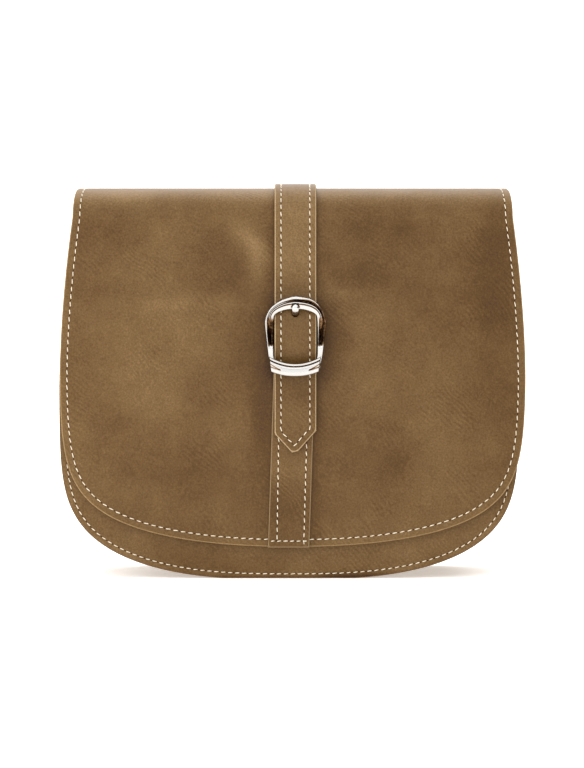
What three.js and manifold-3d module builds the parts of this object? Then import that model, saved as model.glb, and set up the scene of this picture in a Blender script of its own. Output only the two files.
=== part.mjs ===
// A leather saddle bag in millimetres, +Z up, its front facing -Y.
// Two crowned panels are joined by a gusset that turns out at both seams. A flap starts on the
// back, folds over the mouth and hangs down the front. A closure strap follows the flap and is
// fastened in a cast buckle, which a shorter base strap holds on the flap.
import * as THREE from "three";
import { mergeVertices } from "three/addons/utils/BufferGeometryUtils.js";
import Module from "manifold-3d";

const wasm = await Module();
wasm.setup();

// Body
const BODY_WIDTH = 237.6; // across the widest height
const BODY_HEIGHT = 186; // floor to the edge of the mouth
const BASE_DEPTH = 62; // between the panels at the floor
const MOUTH_DEPTH = 44; // between the panels at the mouth
const WIDEST_HEIGHT = 95;
const MOUTH_NARROWING = 8.6; // taken off each side between the widest height and the mouth
const FLOOR_FLAT = 0.8; // how much of the round base is pressed flat where it stands
const FRONT_CROWN = 7; // how far the middle of the front panel stands out
const BACK_CROWN = 3;
const SEAM_ALLOWANCE = 7; // the gusset's turned edge, and the panel's edge over it
const SEAM_BEND = 1.6; // how rounded the gusset's turn is

// Leather
const PANEL_LEATHER = 2;
const GUSSET_LEATHER = 1.8;
const FLAP_LEATHER = 2.2;
const STRAP_LEATHER = 2;
const BASE_STRAP_LEATHER = 1.2;

// Clearances
const SEAT = 0.3; // between pieces that are stitched or rest on each other
const FLAP_EASE = 1.2; // between the front panel and the flap that hangs over it

// Flap
const FLAP_LAP = 1.5; // how far the flap stands out past the body at each side
const FLAP_SHIFT = 1.7; // the flap sits this much to the right of the body
const FLAP_HEM = 16.6; // floor to the lowest point of its edge
const MOUTH_RISE = 11.6; // free height between the mouth and the flap over it
const FOLD_REACH = 14; // how far each fold over the mouth reaches in
const REAR_LAP = 42; // how far the flap comes down the back panel

// Straps
const STRAP_WIDTH = 21.4;
const STRAP_SHIFT = 1.4; // closure strap, to the right of the flap's middle
const TIP_HEIGHT = 65.7; // floor to the point of the closure strap
const TIP_LENGTH = 10.5;
const TIP_BLUNT = 3.2; // width of the cut-off point
const STRAP_REAR_MARGIN = 8; // from its rear end to the flap's rear edge
const BASE_STRAP_SLANT = 0.033; // sideways lean of the base strap for each mm of height
const BASE_STRAP_TAIL = 8; // folded end, from the bar down
const CLIMB_FROM = 26; // the closure strap starts to rise this far above the bar
const CREST_FROM = 4; // it is at its highest from here down
const CREST_TO = 2; // to this far below the bar
const DROP_TO = 14; // and both straps lie flat again this far below it

// Buckle
const BAR_HEIGHT = 122; // floor to the bar that the base strap is folded round
const BAR_RADIUS = 0.9;
const BAR_PLAY = 0.25;
const WINDOW_PLAY = 0.6; // between a strap edge and the buckle's side
const SIDE_WIDTH = 4.4;
const BUCKLE_ABOVE_BAR = 23.4;
const BUCKLE_BELOW_BAR = 18;
const BUCKLE_THICKNESS = 2.5;
const PRONG_WIDTH = 3.2;
const PRONG_THICKNESS = 1.5;
const PRONG_EYE_WALL = 1; // round the bar
const SLOT_PLAY = 0.4; // round the prong in both straps
const SLOT_BELOW_ARCH = 5; // from the arch's inner edge down to the foot of the strap's slot
const SLOT_LENGTH = 5.6;

// Colours
const TAN = { color: 0x7e6241, roughness: 0.5, metalness: 0 };
const STRAP_TAN = { color: 0x856848, roughness: 0.45, metalness: 0 };
const NICKEL = { color: 0xdcd5c8, roughness: 0.15, metalness: 1 };

// The two outlines seen from the front. Round the base, the half width at a height h above the
// lowest point is its full value times (1 - exp(-(h / roll)^swell))^(1 / square).
const BODY_OUTLINE = { roll: 27.6, swell: 1.55, square: 4.35 };
const FLAP_OUTLINE = { roll: 18.9, swell: 1.12, square: 2.43 };
const NARROWING_CURVE = 1.86; // how late the sides narrow towards the top

// A panel's crown: how square it is from side to side, how much of an arch it makes from the
// floor to the mouth, and how far below the middle that arch is fullest.
const CROWN_SHAPE = { square: 2.5, arch: 0.88, low: 0.75 };

// Soft folds and dents in the flap: places as shares of its half width and of the bag's height,
// spreads as shares of its half width, and rises as shares of FLAP_EASE.
const FLAP_FOLDS = [
  { across: -0.18, up: 0.81, wide: 0.055, tall: 0.15, turn: -22, rise: 0.85 },
  { across: -0.36, up: 0.85, wide: 0.09, tall: 0.12, turn: 0, rise: -0.4 },
  { across: -0.5, up: 0.71, wide: 0.3, tall: 0.05, turn: 2, rise: 0.35 },
  { across: 0.27, up: 0.72, wide: 0.17, tall: 0.06, turn: -4, rise: 0.5 },
  { across: 0.25, up: 0.8, wide: 0.18, tall: 0.07, turn: 0, rise: -0.35 },
  { across: 0.84, up: 0.7, wide: 0.1, tall: 0.2, turn: 0, rise: -0.45 },
  { across: -0.27, up: 0.58, wide: 0.1, tall: 0.16, turn: 0, rise: -0.4 },
  { across: -0.78, up: 0.38, wide: 0.1, tall: 0.1, turn: 20, rise: -0.35 },
  { across: 0.5, up: 0.3, wide: 0.22, tall: 0.07, turn: 24, rise: 0.3 },
];

const BODY_HALF = BODY_WIDTH / 2;
const FLAP_HALF = BODY_HALF + FLAP_LAP;
const FLAP_INSIDE_TOP = BODY_HEIGHT + MOUTH_RISE;
const BAG_TOP = FLAP_INSIDE_TOP + FLAP_LEATHER;
const FLAP_MIDDLE = FLAP_SHIFT;
const STRAP_MIDDLE = FLAP_MIDDLE + STRAP_SHIFT;
const BASE_EDGE = 0.05; // height at which the flap's outline starts, so that its hem has a width
const FLAP_ROW = 17; // spacing of the rows of a piece that follows the flap
const STRAP_ROW = 4.6;

const smooth = (value, from, to) => THREE.MathUtils.smoothstep(value, from, to);

function outlineHalf(full, outline, rise) {
  const swell = Math.pow(Math.max(rise, 0) / outline.roll, outline.swell);
  return full * Math.pow(1 - Math.exp(-swell), 1 / outline.square);
}

function narrowing(height, top) {
  const share = THREE.MathUtils.clamp((height - WIDEST_HEIGHT) / (top - WIDEST_HEIGHT), 0, 1);
  return MOUTH_NARROWING * Math.pow(share, NARROWING_CURVE);
}

function bodyHalfAt(height) {
  return (
    outlineHalf(BODY_HALF, BODY_OUTLINE, height + FLOOR_FLAT) - narrowing(height, BODY_HEIGHT)
  );
}

function flapHalfAt(rise) {
  const height = FLAP_HEM + rise;
  return outlineHalf(FLAP_HALF, FLAP_OUTLINE, rise) - narrowing(height, FLAP_INSIDE_TOP);
}

// Half the room between the panels' seam faces.
function seamDepth(height) {
  return THREE.MathUtils.lerp(BASE_DEPTH, MOUTH_DEPTH, height / BODY_HEIGHT) / 2;
}

// How far a panel swells out between its seams: nothing at the floor, a third at the mouth.
function crownAt(crown, x, height) {
  const share = THREE.MathUtils.clamp(height / BODY_HEIGHT, 0, 1);
  const edge = Math.min(Math.abs(x) / bodyHalfAt(share * BODY_HEIGHT), 1);
  const arch = Math.sin(Math.PI * CROWN_SHAPE.arch * Math.pow(share, CROWN_SHAPE.low));
  return crown * (1 - Math.pow(edge, CROWN_SHAPE.square)) * arch;
}

// A solid between two grids of points with the same rows and columns.
function slab(face, back) {
  const rows = face.length;
  const columns = face[0].length;
  const positions = [face, back].flat(2).flatMap((point) => point.toArray());
  const faces = [];
  const quad = (a, b, c, d) => faces.push(a, b, c, a, c, d);
  const onFace = (row, column) => row * columns + column;
  const onBack = (row, column) => rows * columns + onFace(row, column);
  for (let i = 0; i < rows - 1; i++) {
    for (let j = 0; j < columns - 1; j++) {
      quad(onFace(i, j), onFace(i, j + 1), onFace(i + 1, j + 1), onFace(i + 1, j));
      quad(onBack(i, j), onBack(i + 1, j), onBack(i + 1, j + 1), onBack(i, j + 1));
    }
    quad(onFace(i, 0), onFace(i + 1, 0), onBack(i + 1, 0), onBack(i, 0));
    const end = columns - 1;
    quad(onFace(i, end), onBack(i, end), onBack(i + 1, end), onFace(i + 1, end));
  }
  for (let j = 0; j < columns - 1; j++) {
    quad(onFace(0, j), onBack(0, j), onBack(0, j + 1), onFace(0, j + 1));
    const end = rows - 1;
    quad(onFace(end, j), onFace(end, j + 1), onBack(end, j + 1), onBack(end, j));
  }
  return closedGeometry(positions, faces);
}

// A solid through rings of points, either capped at both ends or closed into a loop.
function loft(rings, isLoop) {
  const size = rings[0].length;
  const faces = [];
  const spans = isLoop ? rings.length : rings.length - 1;
  for (let i = 0; i < spans; i++) {
    const next = (i + 1) % rings.length;
    for (let j = 0; j < size; j++) {
      const beside = (j + 1) % size;
      const [a, b] = [i * size + j, i * size + beside];
      const [c, d] = [next * size + beside, next * size + j];
      faces.push(a, b, c, a, c, d);
    }
  }
  for (let j = 1; j < size - 1 && !isLoop; j++) {
    const last = (rings.length - 1) * size;
    faces.push(0, j + 1, j, last, last + j, last + j + 1);
  }
  return closedGeometry(rings.flat().flatMap((point) => point.toArray()), faces);
}

// Turns the faces round if they point inwards.
function closedGeometry(positions, faces) {
  const corner = (index) => new THREE.Vector3().fromArray(positions, 3 * index);
  let volume = 0;
  for (let i = 0; i < faces.length; i += 3) {
    const [a, b, c] = [corner(faces[i]), corner(faces[i + 1]), corner(faces[i + 2])];
    volume += a.dot(b.cross(c));
  }
  const turned = volume < 0 ? faces.reverse() : faces;
  const geometry = new THREE.BufferGeometry();
  geometry.setAttribute("position", new THREE.Float32BufferAttribute(positions, 3));
  geometry.setIndex(turned);
  return geometry;
}

function toSolid(geometry) {
  const bare = new THREE.BufferGeometry();
  bare.setAttribute("position", geometry.getAttribute("position"));
  bare.setIndex(geometry.index);
  const merged = mergeVertices(bare, 1e-4);
  return new wasm.Manifold(
    new wasm.Mesh({
      numProp: 3,
      vertProperties: new Float32Array(merged.attributes.position.array),
      triVerts: new Uint32Array(merged.index.array),
    }),
  );
}

function fromSolid(solid) {
  const mesh = solid.getMesh();
  const geometry = new THREE.BufferGeometry();
  geometry.setAttribute("position", new THREE.BufferAttribute(mesh.vertProperties, 3));
  geometry.setIndex(new THREE.BufferAttribute(mesh.triVerts, 1));
  return geometry;
}

function piece(name, geometry, finish) {
  geometry.computeVertexNormals();
  const mesh = new THREE.Mesh(geometry, new THREE.MeshStandardMaterial(finish));
  mesh.name = name;
  return mesh;
}

// Even shares from -1 to 1.
function across(count) {
  return Array.from({ length: count }, (_, i) => (2 * i) / (count - 1) - 1);
}

// Shares from 0 to 1, closest near 0, where the bag's base and the flap's hem are round.
function upwards(count) {
  const closeness = 1.7;
  return Array.from({ length: count }, (_, i) => Math.pow(i / (count - 1), closeness));
}

// Front and back panels: crowned sheets with the body's outline. side is -1 at the front.
function panel(name, side, crown) {
  const columns = across(17);
  const gridAt = (outset) =>
    upwards(19).map((share) => {
      const height = share * BODY_HEIGHT;
      return columns.map((column) => {
        const x = column * bodyHalfAt(height);
        const depth = seamDepth(height) + crownAt(crown, x, height) + outset;
        return new THREE.Vector3(x, side * depth, height);
      });
    });
  return piece(name, slab(gridAt(PANEL_LEATHER), gridAt(0)), TAN);
}

// The body's outline as evenly spaced points with their outward directions, from mouth to mouth.
function bodyOutline(count) {
  const heights = upwards(300).map((share) => share * BODY_HEIGHT);
  const right = heights.map((height) => new THREE.Vector2(bodyHalfAt(height), height));
  const left = right.map((point) => new THREE.Vector2(-point.x, point.y)).reverse();
  const points = new THREE.Path([...left, ...right]).getSpacedPoints(count - 1);
  return points.map((at, i) => {
    const before = points[Math.max(i - 1, 0)];
    const after = points[Math.min(i + 1, count - 1)];
    const along = after.clone().sub(before).normalize();
    return { at, out: new THREE.Vector2(along.y, -along.x) };
  });
}

// The gusset: a band round the sides and base whose two edges turn out along the panels.
// Its section runs from one turned edge over the band to the other.
function gusset() {
  const section = (depth, leather) => {
    const side = depth - SEAT - leather;
    const inset = SEAM_ALLOWANCE - leather;
    return [
      { inset: 0, y: -side },
      { inset: inset - SEAM_BEND, y: -side },
      { inset, y: -(side - SEAM_BEND) },
      { inset, y: 0 },
      { inset, y: side - SEAM_BEND },
      { inset: inset - SEAM_BEND, y: side },
      { inset: 0, y: side },
    ];
  };
  const gridAt = (leather) =>
    bodyOutline(53).map(({ at, out }) =>
      section(seamDepth(at.y), leather).map(
        ({ inset, y }) => new THREE.Vector3(at.x - out.x * inset, y, at.y - out.y * inset),
      ),
    );
  return piece("gusset", slab(gridAt(0), gridAt(GUSSET_LEATHER)), TAN);
}

// The flap's inner face seen from the side, from the hem up, over the mouth and down the back.
const flapLine = (() => {
  const frontAt = (height) =>
    new THREE.Vector2(-(seamDepth(height) + PANEL_LEATHER + FLAP_EASE), height);
  const backAt = (height) => new THREE.Vector2(seamDepth(height) + PANEL_LEATHER + SEAT, height);
  const frontCorner = frontAt(FLAP_INSIDE_TOP);
  const backCorner = backAt(FLAP_INSIDE_TOP);
  const line = new THREE.Path();
  line.moveTo(...frontAt(FLAP_HEM));
  line.lineTo(...frontAt(BODY_HEIGHT));
  line.quadraticCurveTo(...frontCorner, frontCorner.x + FOLD_REACH, FLAP_INSIDE_TOP);
  line.lineTo(backCorner.x - FOLD_REACH, FLAP_INSIDE_TOP);
  line.quadraticCurveTo(...backCorner, ...backAt(BODY_HEIGHT));
  line.lineTo(...backAt(BODY_HEIGHT - REAR_LAP));
  line.arcLengthDivisions = 2000;
  return line;
})();
const FLAP_LENGTH = flapLine.getLength();
const [FRONT_END, FOLD_END, TOP_END, REAR_FOLD_END] = flapLine.getCurveLengths();
const FRONT_SLOPE = FRONT_END / (BODY_HEIGHT - FLAP_HEM);

// Distance along the flap from its hem to a height on its front.
const alongAt = (height) => (height - FLAP_HEM) * FRONT_SLOPE;

function foldRise(x, height) {
  let rise = 0;
  for (const fold of FLAP_FOLDS) {
    const turn = THREE.MathUtils.degToRad(fold.turn);
    const dx = (x - FLAP_MIDDLE) / FLAP_HALF - fold.across;
    const dz = (height - fold.up * BAG_TOP) / FLAP_HALF;
    const u = (dx * Math.cos(turn) + dz * Math.sin(turn)) / fold.wide;
    const v = (dz * Math.cos(turn) - dx * Math.sin(turn)) / fold.tall;
    rise += fold.rise * FLAP_EASE * Math.exp(-(u * u + v * v) / 2);
  }
  return rise;
}

// The point that lies out mm off the flap's inner face, at x and at a distance from its hem.
// Before the hem, the flap's line runs on straight.
function offFlap(x, along, out) {
  const share = THREE.MathUtils.clamp(along / FLAP_LENGTH, 0, 1);
  const at = flapLine.getPointAt(share);
  const tangent = flapLine.getTangentAt(share);
  at.addScaledVector(tangent, Math.min(along, 0));
  const onFront = 1 - smooth(along, FRONT_END, FOLD_END);
  const onBack = smooth(along, TOP_END, REAR_FOLD_END);
  const lift =
    onFront * (crownAt(FRONT_CROWN, x, at.y) + foldRise(x, at.y)) +
    onBack * crownAt(BACK_CROWN, x, at.y) +
    out;
  return new THREE.Vector3(x, at.x - tangent.y * lift, at.y + tangent.x * lift);
}

// The point that lies out mm off the flap's outer face, at x and a height on the front.
const offFront = (x, height, out) => offFlap(x, alongAt(height), FLAP_LEATHER + out);

// Distances along the flap, from one to another, at which a piece that follows it has a row.
function rowsAlong(from, to, spacing) {
  const foldSteps = 5;
  const stops = [from, FRONT_END, FOLD_END, TOP_END, REAR_FOLD_END, to];
  const inside = stops.filter((stop) => stop >= from && stop <= to).sort((a, b) => a - b);
  const rows = [inside[0]];
  for (let i = 1; i < inside.length; i++) {
    const length = inside[i] - inside[i - 1];
    const isFold = inside[i] === FOLD_END || inside[i] === REAR_FOLD_END;
    const steps = Math.max(1, isFold ? foldSteps : Math.round(length / spacing));
    for (let k = 1; k <= steps; k++) rows.push(inside[i - 1] + (length * k) / steps);
  }
  return rows;
}

// The flap: one sheet with a round hem, straight sides and a straight rear edge.
function flap() {
  const roundRows = upwards(27).map((share) => BASE_EDGE + share * (FRONT_END - BASE_EDGE));
  const rows = [...roundRows, ...rowsAlong(FRONT_END, FLAP_LENGTH, FLAP_ROW).slice(1)];
  const gridAt = (out) =>
    rows.map((along) => {
      const half = flapHalfAt(Math.min(along, FRONT_END));
      const rest = along > FRONT_END ? narrowing(FLAP_HEM + FRONT_END, FLAP_INSIDE_TOP) : 0;
      const tuck = along > FRONT_END ? MOUTH_NARROWING - rest : 0;
      const width = half - tuck * smooth(along, FRONT_END, FOLD_END);
      return across(25).map((column) => offFlap(FLAP_MIDDLE + column * width, along, out));
    });
  return piece("flap", slab(gridAt(FLAP_LEATHER), gridAt(0)), TAN);
}

// Heights off the flap of what is stacked under and over the buckle's bar.
const BAR_OUT = SEAT + BASE_STRAP_LEATHER + BAR_PLAY + BAR_RADIUS;
const BASE_STRAP_AT_BAR = BAR_OUT + BAR_RADIUS + BAR_PLAY;
const STRAP_AT_BAR = BASE_STRAP_AT_BAR + BASE_STRAP_LEATHER + SEAT;
const STRAP_ON_BASE = SEAT + BASE_STRAP_LEATHER + SEAT;

// How far the closure strap's underside lies off the flap at a height on the front.
function strapLift(height) {
  const over = height - BAR_HEIGHT;
  const climb = 1 - smooth(over, CREST_FROM, CLIMB_FROM);
  const drop = smooth(-over, CREST_TO, DROP_TO);
  const low = over > 0 ? SEAT : STRAP_ON_BASE;
  return low + (STRAP_AT_BAR - low) * climb * (1 - drop);
}

// Half the closure strap's width, which tapers to a blunt point.
function strapHalf(height) {
  const share = THREE.MathUtils.clamp((height - TIP_HEIGHT) / TIP_LENGTH, 0, 1);
  return THREE.MathUtils.lerp(TIP_BLUNT, STRAP_WIDTH, share) / 2;
}

// An upright slot for the prong, with round ends, cut through whatever lies at that height.
function prongSlot(height, length) {
  const round = PRONG_WIDTH / 2 + SLOT_PLAY;
  const straight = Math.max(length / 2 - round, 0);
  const outline = new THREE.Shape();
  outline.absarc(0, straight, round, 0, Math.PI);
  outline.absarc(0, -straight, round, Math.PI, 2 * Math.PI);
  const reach = STRAP_AT_BAR + STRAP_LEATHER;
  const cutter = new THREE.ExtrudeGeometry(outline, {
    depth: 2 * reach,
    bevelEnabled: false,
    curveSegments: 8,
  });
  cutter.rotateX(Math.PI / 2);
  const at = offFront(STRAP_MIDDLE, height, 0);
  cutter.translate(at.x, at.y + reach / 2, at.z);
  return toSolid(withIndex(cutter));
}

function withIndex(geometry) {
  geometry.deleteAttribute("normal");
  geometry.deleteAttribute("uv");
  return mergeVertices(geometry, 1e-4);
}

// The closure strap: from the back, over the flap and down the front to its point.
function closureStrap() {
  const tip = alongAt(TIP_HEIGHT);
  const shoulder = alongAt(TIP_HEIGHT + TIP_LENGTH);
  const rear = FLAP_LENGTH - STRAP_REAR_MARGIN;
  const rows = [tip, ...rowsAlong(shoulder, rear, STRAP_ROW)];
  const gridAt = (leather) =>
    rows.map((along) => {
      const height = FLAP_HEM + along / FRONT_SLOPE;
      const isFront = along < FRONT_END;
      const lift = isFront ? strapLift(height) : SEAT;
      const half = isFront ? strapHalf(height) : STRAP_WIDTH / 2;
      const out = FLAP_LEATHER + lift + leather;
      return across(3).map((column) => offFlap(STRAP_MIDDLE + column * half, along, out));
    });
  const strap = toSolid(slab(gridAt(STRAP_LEATHER), gridAt(0)));
  const slot = prongSlot(SLOT_FOOT + SLOT_LENGTH / 2, SLOT_LENGTH);
  return piece("closure_strap", fromSolid(strap.subtract(slot)), STRAP_TAN);
}

// The base strap: its folded tail lies on the flap, it turns round the buckle's bar, and it
// runs down to the hem. A slot in the fold leaves room for the prong.
function baseStrap() {
  const line = new THREE.Path();
  const turn = BAR_RADIUS + BAR_PLAY + BASE_STRAP_LEATHER / 2;
  const flat = SEAT + BASE_STRAP_LEATHER / 2;
  const front = BAR_OUT + turn;
  line.moveTo(BAR_HEIGHT - BASE_STRAP_TAIL, flat);
  line.lineTo(BAR_HEIGHT, flat);
  line.absarc(BAR_HEIGHT, BAR_OUT, turn, -Math.PI / 2, Math.PI / 2, false);
  line.bezierCurveTo(
    BAR_HEIGHT - DROP_TO / 2,
    front,
    BAR_HEIGHT - DROP_TO / 2,
    flat,
    BAR_HEIGHT - DROP_TO,
    flat,
  );
  line.lineTo(FLAP_HEM - SEAT, flat);
  line.arcLengthDivisions = 2000;
  const steps = { tail: 2, fold: 10, drop: 8, flat: 11 };
  const ends = line.getCurveLengths();
  const stops = [0];
  Object.values(steps).forEach((count, i) => {
    const from = i ? ends[i - 1] : 0;
    for (let k = 1; k <= count; k++) stops.push(from + ((ends[i] - from) * k) / count);
  });
  const gridAt = (offset) =>
    stops.map((stop) => {
      const share = Math.min(stop / line.getLength(), 1);
      const at = line.getPointAt(share);
      const tangent = line.getTangentAt(share);
      const height = at.x + tangent.y * offset;
      const out = at.y - tangent.x * offset;
      const middle = STRAP_MIDDLE - BASE_STRAP_SLANT * (BAR_HEIGHT - height);
      return across(3).map((column) =>
        offFront(middle + (column * STRAP_WIDTH) / 2, height, out),
      );
    });
  const half = BASE_STRAP_LEATHER / 2;
  const strap = toSolid(slab(gridAt(half), gridAt(-half)));
  const slot = prongSlot(BAR_HEIGHT, 2 * (PRONG_EYE_RADIUS + BASE_STRAP_LEATHER + SLOT_PLAY));
  return piece("base_strap", fromSolid(strap.subtract(slot)), STRAP_TAN);
}

// The buckle's frame, right half from the top of the arch to the middle of the band.
// Outer and inner edges: x as shares of the frame's and the window's half width, z as shares of
// the frame's height above its lowest point. back is how far the rear face stands off the flap,
// as shares of the rear height at the arch, and thick is a share of BUCKLE_THICKNESS.
const BUCKLE_SECTIONS = [
  { outX: 0, outZ: 1, inX: 0, inZ: 0.834, back: 1, thick: 1 },
  { outX: 0.27, outZ: 0.979, inX: 0.31, inZ: 0.832, back: 1, thick: 1 },
  { outX: 0.51, outZ: 0.943, inX: 0.62, inZ: 0.82, back: 1, thick: 1 },
  { outX: 0.73, outZ: 0.887, inX: 0.85, inZ: 0.8, back: 1, thick: 1 },
  { outX: 0.89, outZ: 0.815, inX: 0.965, inZ: 0.766, back: 0.95, thick: 1.05 },
  { outX: 0.985, outZ: 0.727, inX: 1, inZ: 0.71, back: 0.85, thick: 1.15 },
  { outX: 1, outZ: 0.64, inX: 1, inZ: 0.633, back: 0.7, thick: 1.35 },
  { outX: 0.965, outZ: 0.5, inX: 1, inZ: 0.495, back: 0.35, thick: 2.05 },
  { outX: 0.925, outZ: 0.385, inX: 1, inZ: 0.38, back: 0.35, thick: 2.15 },
  { outX: 0.885, outZ: 0.285, inX: 1, inZ: 0.272, back: 1.15, thick: 1.05 },
  { outX: 0.84, outZ: 0.18, inX: 0.9, inZ: 0.235, back: 1.3, thick: 0.9 },
  { outX: 0.8, outZ: 0.08, inX: 0.72, inZ: 0.203, back: 1.3, thick: 0.95 },
  { outX: 0.6, outZ: 0.029, inX: 0.49, inZ: 0.176, back: 1.3, thick: 1 },
  { outX: 0.29, outZ: 0.005, inX: 0.24, inZ: 0.16, back: 1.3, thick: 1.05 },
  { outX: 0, outZ: 0, inX: 0, inZ: 0.155, back: 1.3, thick: 1.05 },
];

// The frame's section: from its inner edge (0) to its outer edge (1), and from its rear face
// (0) to its front (1). The inner edge is bevelled down from a rounded outer bead.
const BUCKLE_PROFILE = [
  { across: 0, up: 0.12 },
  { across: 0, up: 0.5 },
  { across: 0.34, up: 0.72 },
  { across: 0.58, up: 1 },
  { across: 0.82, up: 1 },
  { across: 1, up: 0.62 },
  { across: 1, up: 0.12 },
  { across: 0.88, up: 0 },
  { across: 0.12, up: 0 },
];

const WINDOW_HALF = STRAP_WIDTH / 2 + WINDOW_PLAY;
const FRAME_HALF = WINDOW_HALF + SIDE_WIDTH;
const BUCKLE_HEIGHT = BUCKLE_ABOVE_BAR + BUCKLE_BELOW_BAR;
const BUCKLE_FOOT = BAR_HEIGHT - BUCKLE_BELOW_BAR;
const ARCH_EDGE = BUCKLE_FOOT + BUCKLE_SECTIONS[0].inZ * BUCKLE_HEIGHT;
const ARCH_CORNER = BUCKLE_FOOT + BUCKLE_SECTIONS[4].inZ * BUCKLE_HEIGHT;
const ARCH_BACK = strapLift(ARCH_CORNER) + STRAP_LEATHER + SEAT;
const SLOT_FOOT = ARCH_EDGE - SLOT_BELOW_ARCH;
const PRONG_EYE_RADIUS = BAR_RADIUS + BAR_PLAY + PRONG_EYE_WALL;

// The prong's arm where it comes up through the slot: heights above the arch's inner edge as
// shares of the slot's length, and how far it has risen from under the strap to its rest.
const PRONG_RISE = [
  { above: -0.8, risen: 0.06 },
  { above: -0.45, risen: 0.5 },
  { above: -0.08, risen: 0.95 },
  { above: 0.5, risen: 1.07 },
];

// A point of the buckle, which keeps the flap's slope at its own middle.
function offBuckle(x, height, out) {
  const point = offFront(STRAP_MIDDLE, height, out);
  point.x += x;
  return point;
}

function buckleFrame() {
  const ringAt = (row, side) =>
    BUCKLE_PROFILE.map(({ across: share, up }) => {
      const x = THREE.MathUtils.lerp(row.inX * WINDOW_HALF, row.outX * FRAME_HALF, share);
      const z = THREE.MathUtils.lerp(row.inZ, row.outZ, share) * BUCKLE_HEIGHT;
      const out = row.back * ARCH_BACK + up * row.thick * BUCKLE_THICKNESS;
      return offBuckle(side * x, BUCKLE_FOOT + z, out);
    });
  const right = BUCKLE_SECTIONS.map((row) => ringAt(row, 1));
  const left = BUCKLE_SECTIONS.slice(1, -1)
    .reverse()
    .map((row) => ringAt(row, -1));
  const frame = toSolid(loft([...right, ...left], true));
  const bar = new THREE.CylinderGeometry(
    BAR_RADIUS,
    BAR_RADIUS,
    2 * WINDOW_HALF + SIDE_WIDTH,
    16,
  );
  bar.rotateZ(Math.PI / 2);
  bar.translate(...offBuckle(0, BAR_HEIGHT, BAR_OUT));
  return piece("buckle_frame", fromSolid(frame.add(toSolid(withIndex(bar)))), NICKEL);
}

// The prong's arm as heights and distances off the flap: it follows the closure strap's
// underside, comes up through the slot and rests on the arch's bevel.
function prongLine() {
  const room = SEAT + PRONG_THICKNESS / 2;
  const bevel = BUCKLE_PROFILE[2].up * BUCKLE_THICKNESS;
  const restOut = ARCH_BACK + bevel + room;
  const underOut = (height) => strapLift(height) - room;
  const start = BAR_HEIGHT + BAR_RADIUS;
  const under = [0, 0.3, 0.6, 0.85].map((share) => {
    const height = THREE.MathUtils.lerp(start, SLOT_FOOT, share);
    return new THREE.Vector2(height, underOut(height));
  });
  const rise = PRONG_RISE.map(({ above, risen }) => {
    const out = THREE.MathUtils.lerp(underOut(SLOT_FOOT), restOut, risen);
    return new THREE.Vector2(ARCH_EDGE + above * SLOT_LENGTH, out);
  });
  return new THREE.SplineCurve([...under, ...rise]);
}

// The prong: an eye round the bar, and a flattened arm with a round tip.
function buckleProng() {
  const arm = prongLine();
  const corners = 10;
  const stations = 19;
  const tipFrom = 0.87;
  const rings = Array.from({ length: stations }, (_, i) => {
    const share = i / (stations - 1);
    const at = arm.getPointAt(share);
    const tangent = arm.getTangentAt(share);
    const taper = Math.sqrt(1 - Math.pow(Math.max(0, (share - tipFrom) / (1.01 - tipFrom)), 2));
    return Array.from({ length: corners }, (_, k) => {
      const angle = (2 * Math.PI * k) / corners;
      const sideways = (Math.cos(angle) * PRONG_WIDTH * taper) / 2;
      const up = (Math.sin(angle) * PRONG_THICKNESS * taper) / 2;
      return offBuckle(sideways, at.x - tangent.y * up, at.y + tangent.x * up);
    });
  });
  const eyeOutline = new THREE.Shape();
  eyeOutline.absarc(0, 0, PRONG_EYE_RADIUS, 0, 2 * Math.PI);
  const hole = new THREE.Path();
  hole.absarc(0, 0, BAR_RADIUS + BAR_PLAY, 0, 2 * Math.PI);
  eyeOutline.holes.push(hole);
  const eye = new THREE.ExtrudeGeometry(eyeOutline, {
    depth: PRONG_WIDTH,
    bevelEnabled: false,
    curveSegments: 12,
  });
  eye.rotateY(Math.PI / 2);
  const middle = offBuckle(-PRONG_WIDTH / 2, BAR_HEIGHT, BAR_OUT);
  eye.translate(...middle);
  const solid = toSolid(loft(rings, false)).add(toSolid(withIndex(eye)));
  return piece("buckle_prong", fromSolid(solid), NICKEL);
}

const bag = new THREE.Group();
bag.add(
  panel("front_panel", -1, FRONT_CROWN),
  panel("back_panel", 1, BACK_CROWN),
  gusset(),
  flap(),
  closureStrap(),
  baseStrap(),
  buckleFrame(),
  buckleProng(),
);

// The origin is on the floor, under the middle of the whole bag.
const reach = new THREE.Box3().setFromObject(bag);
const centre = reach.getCenter(new THREE.Vector3());
bag.position.set(-centre.x, -centre.y, -reach.min.z);

export default bag;
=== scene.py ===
import math

import bpy
import numpy as np
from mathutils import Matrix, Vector
from mathutils.geometry import delaunay_2d_cdt


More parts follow.
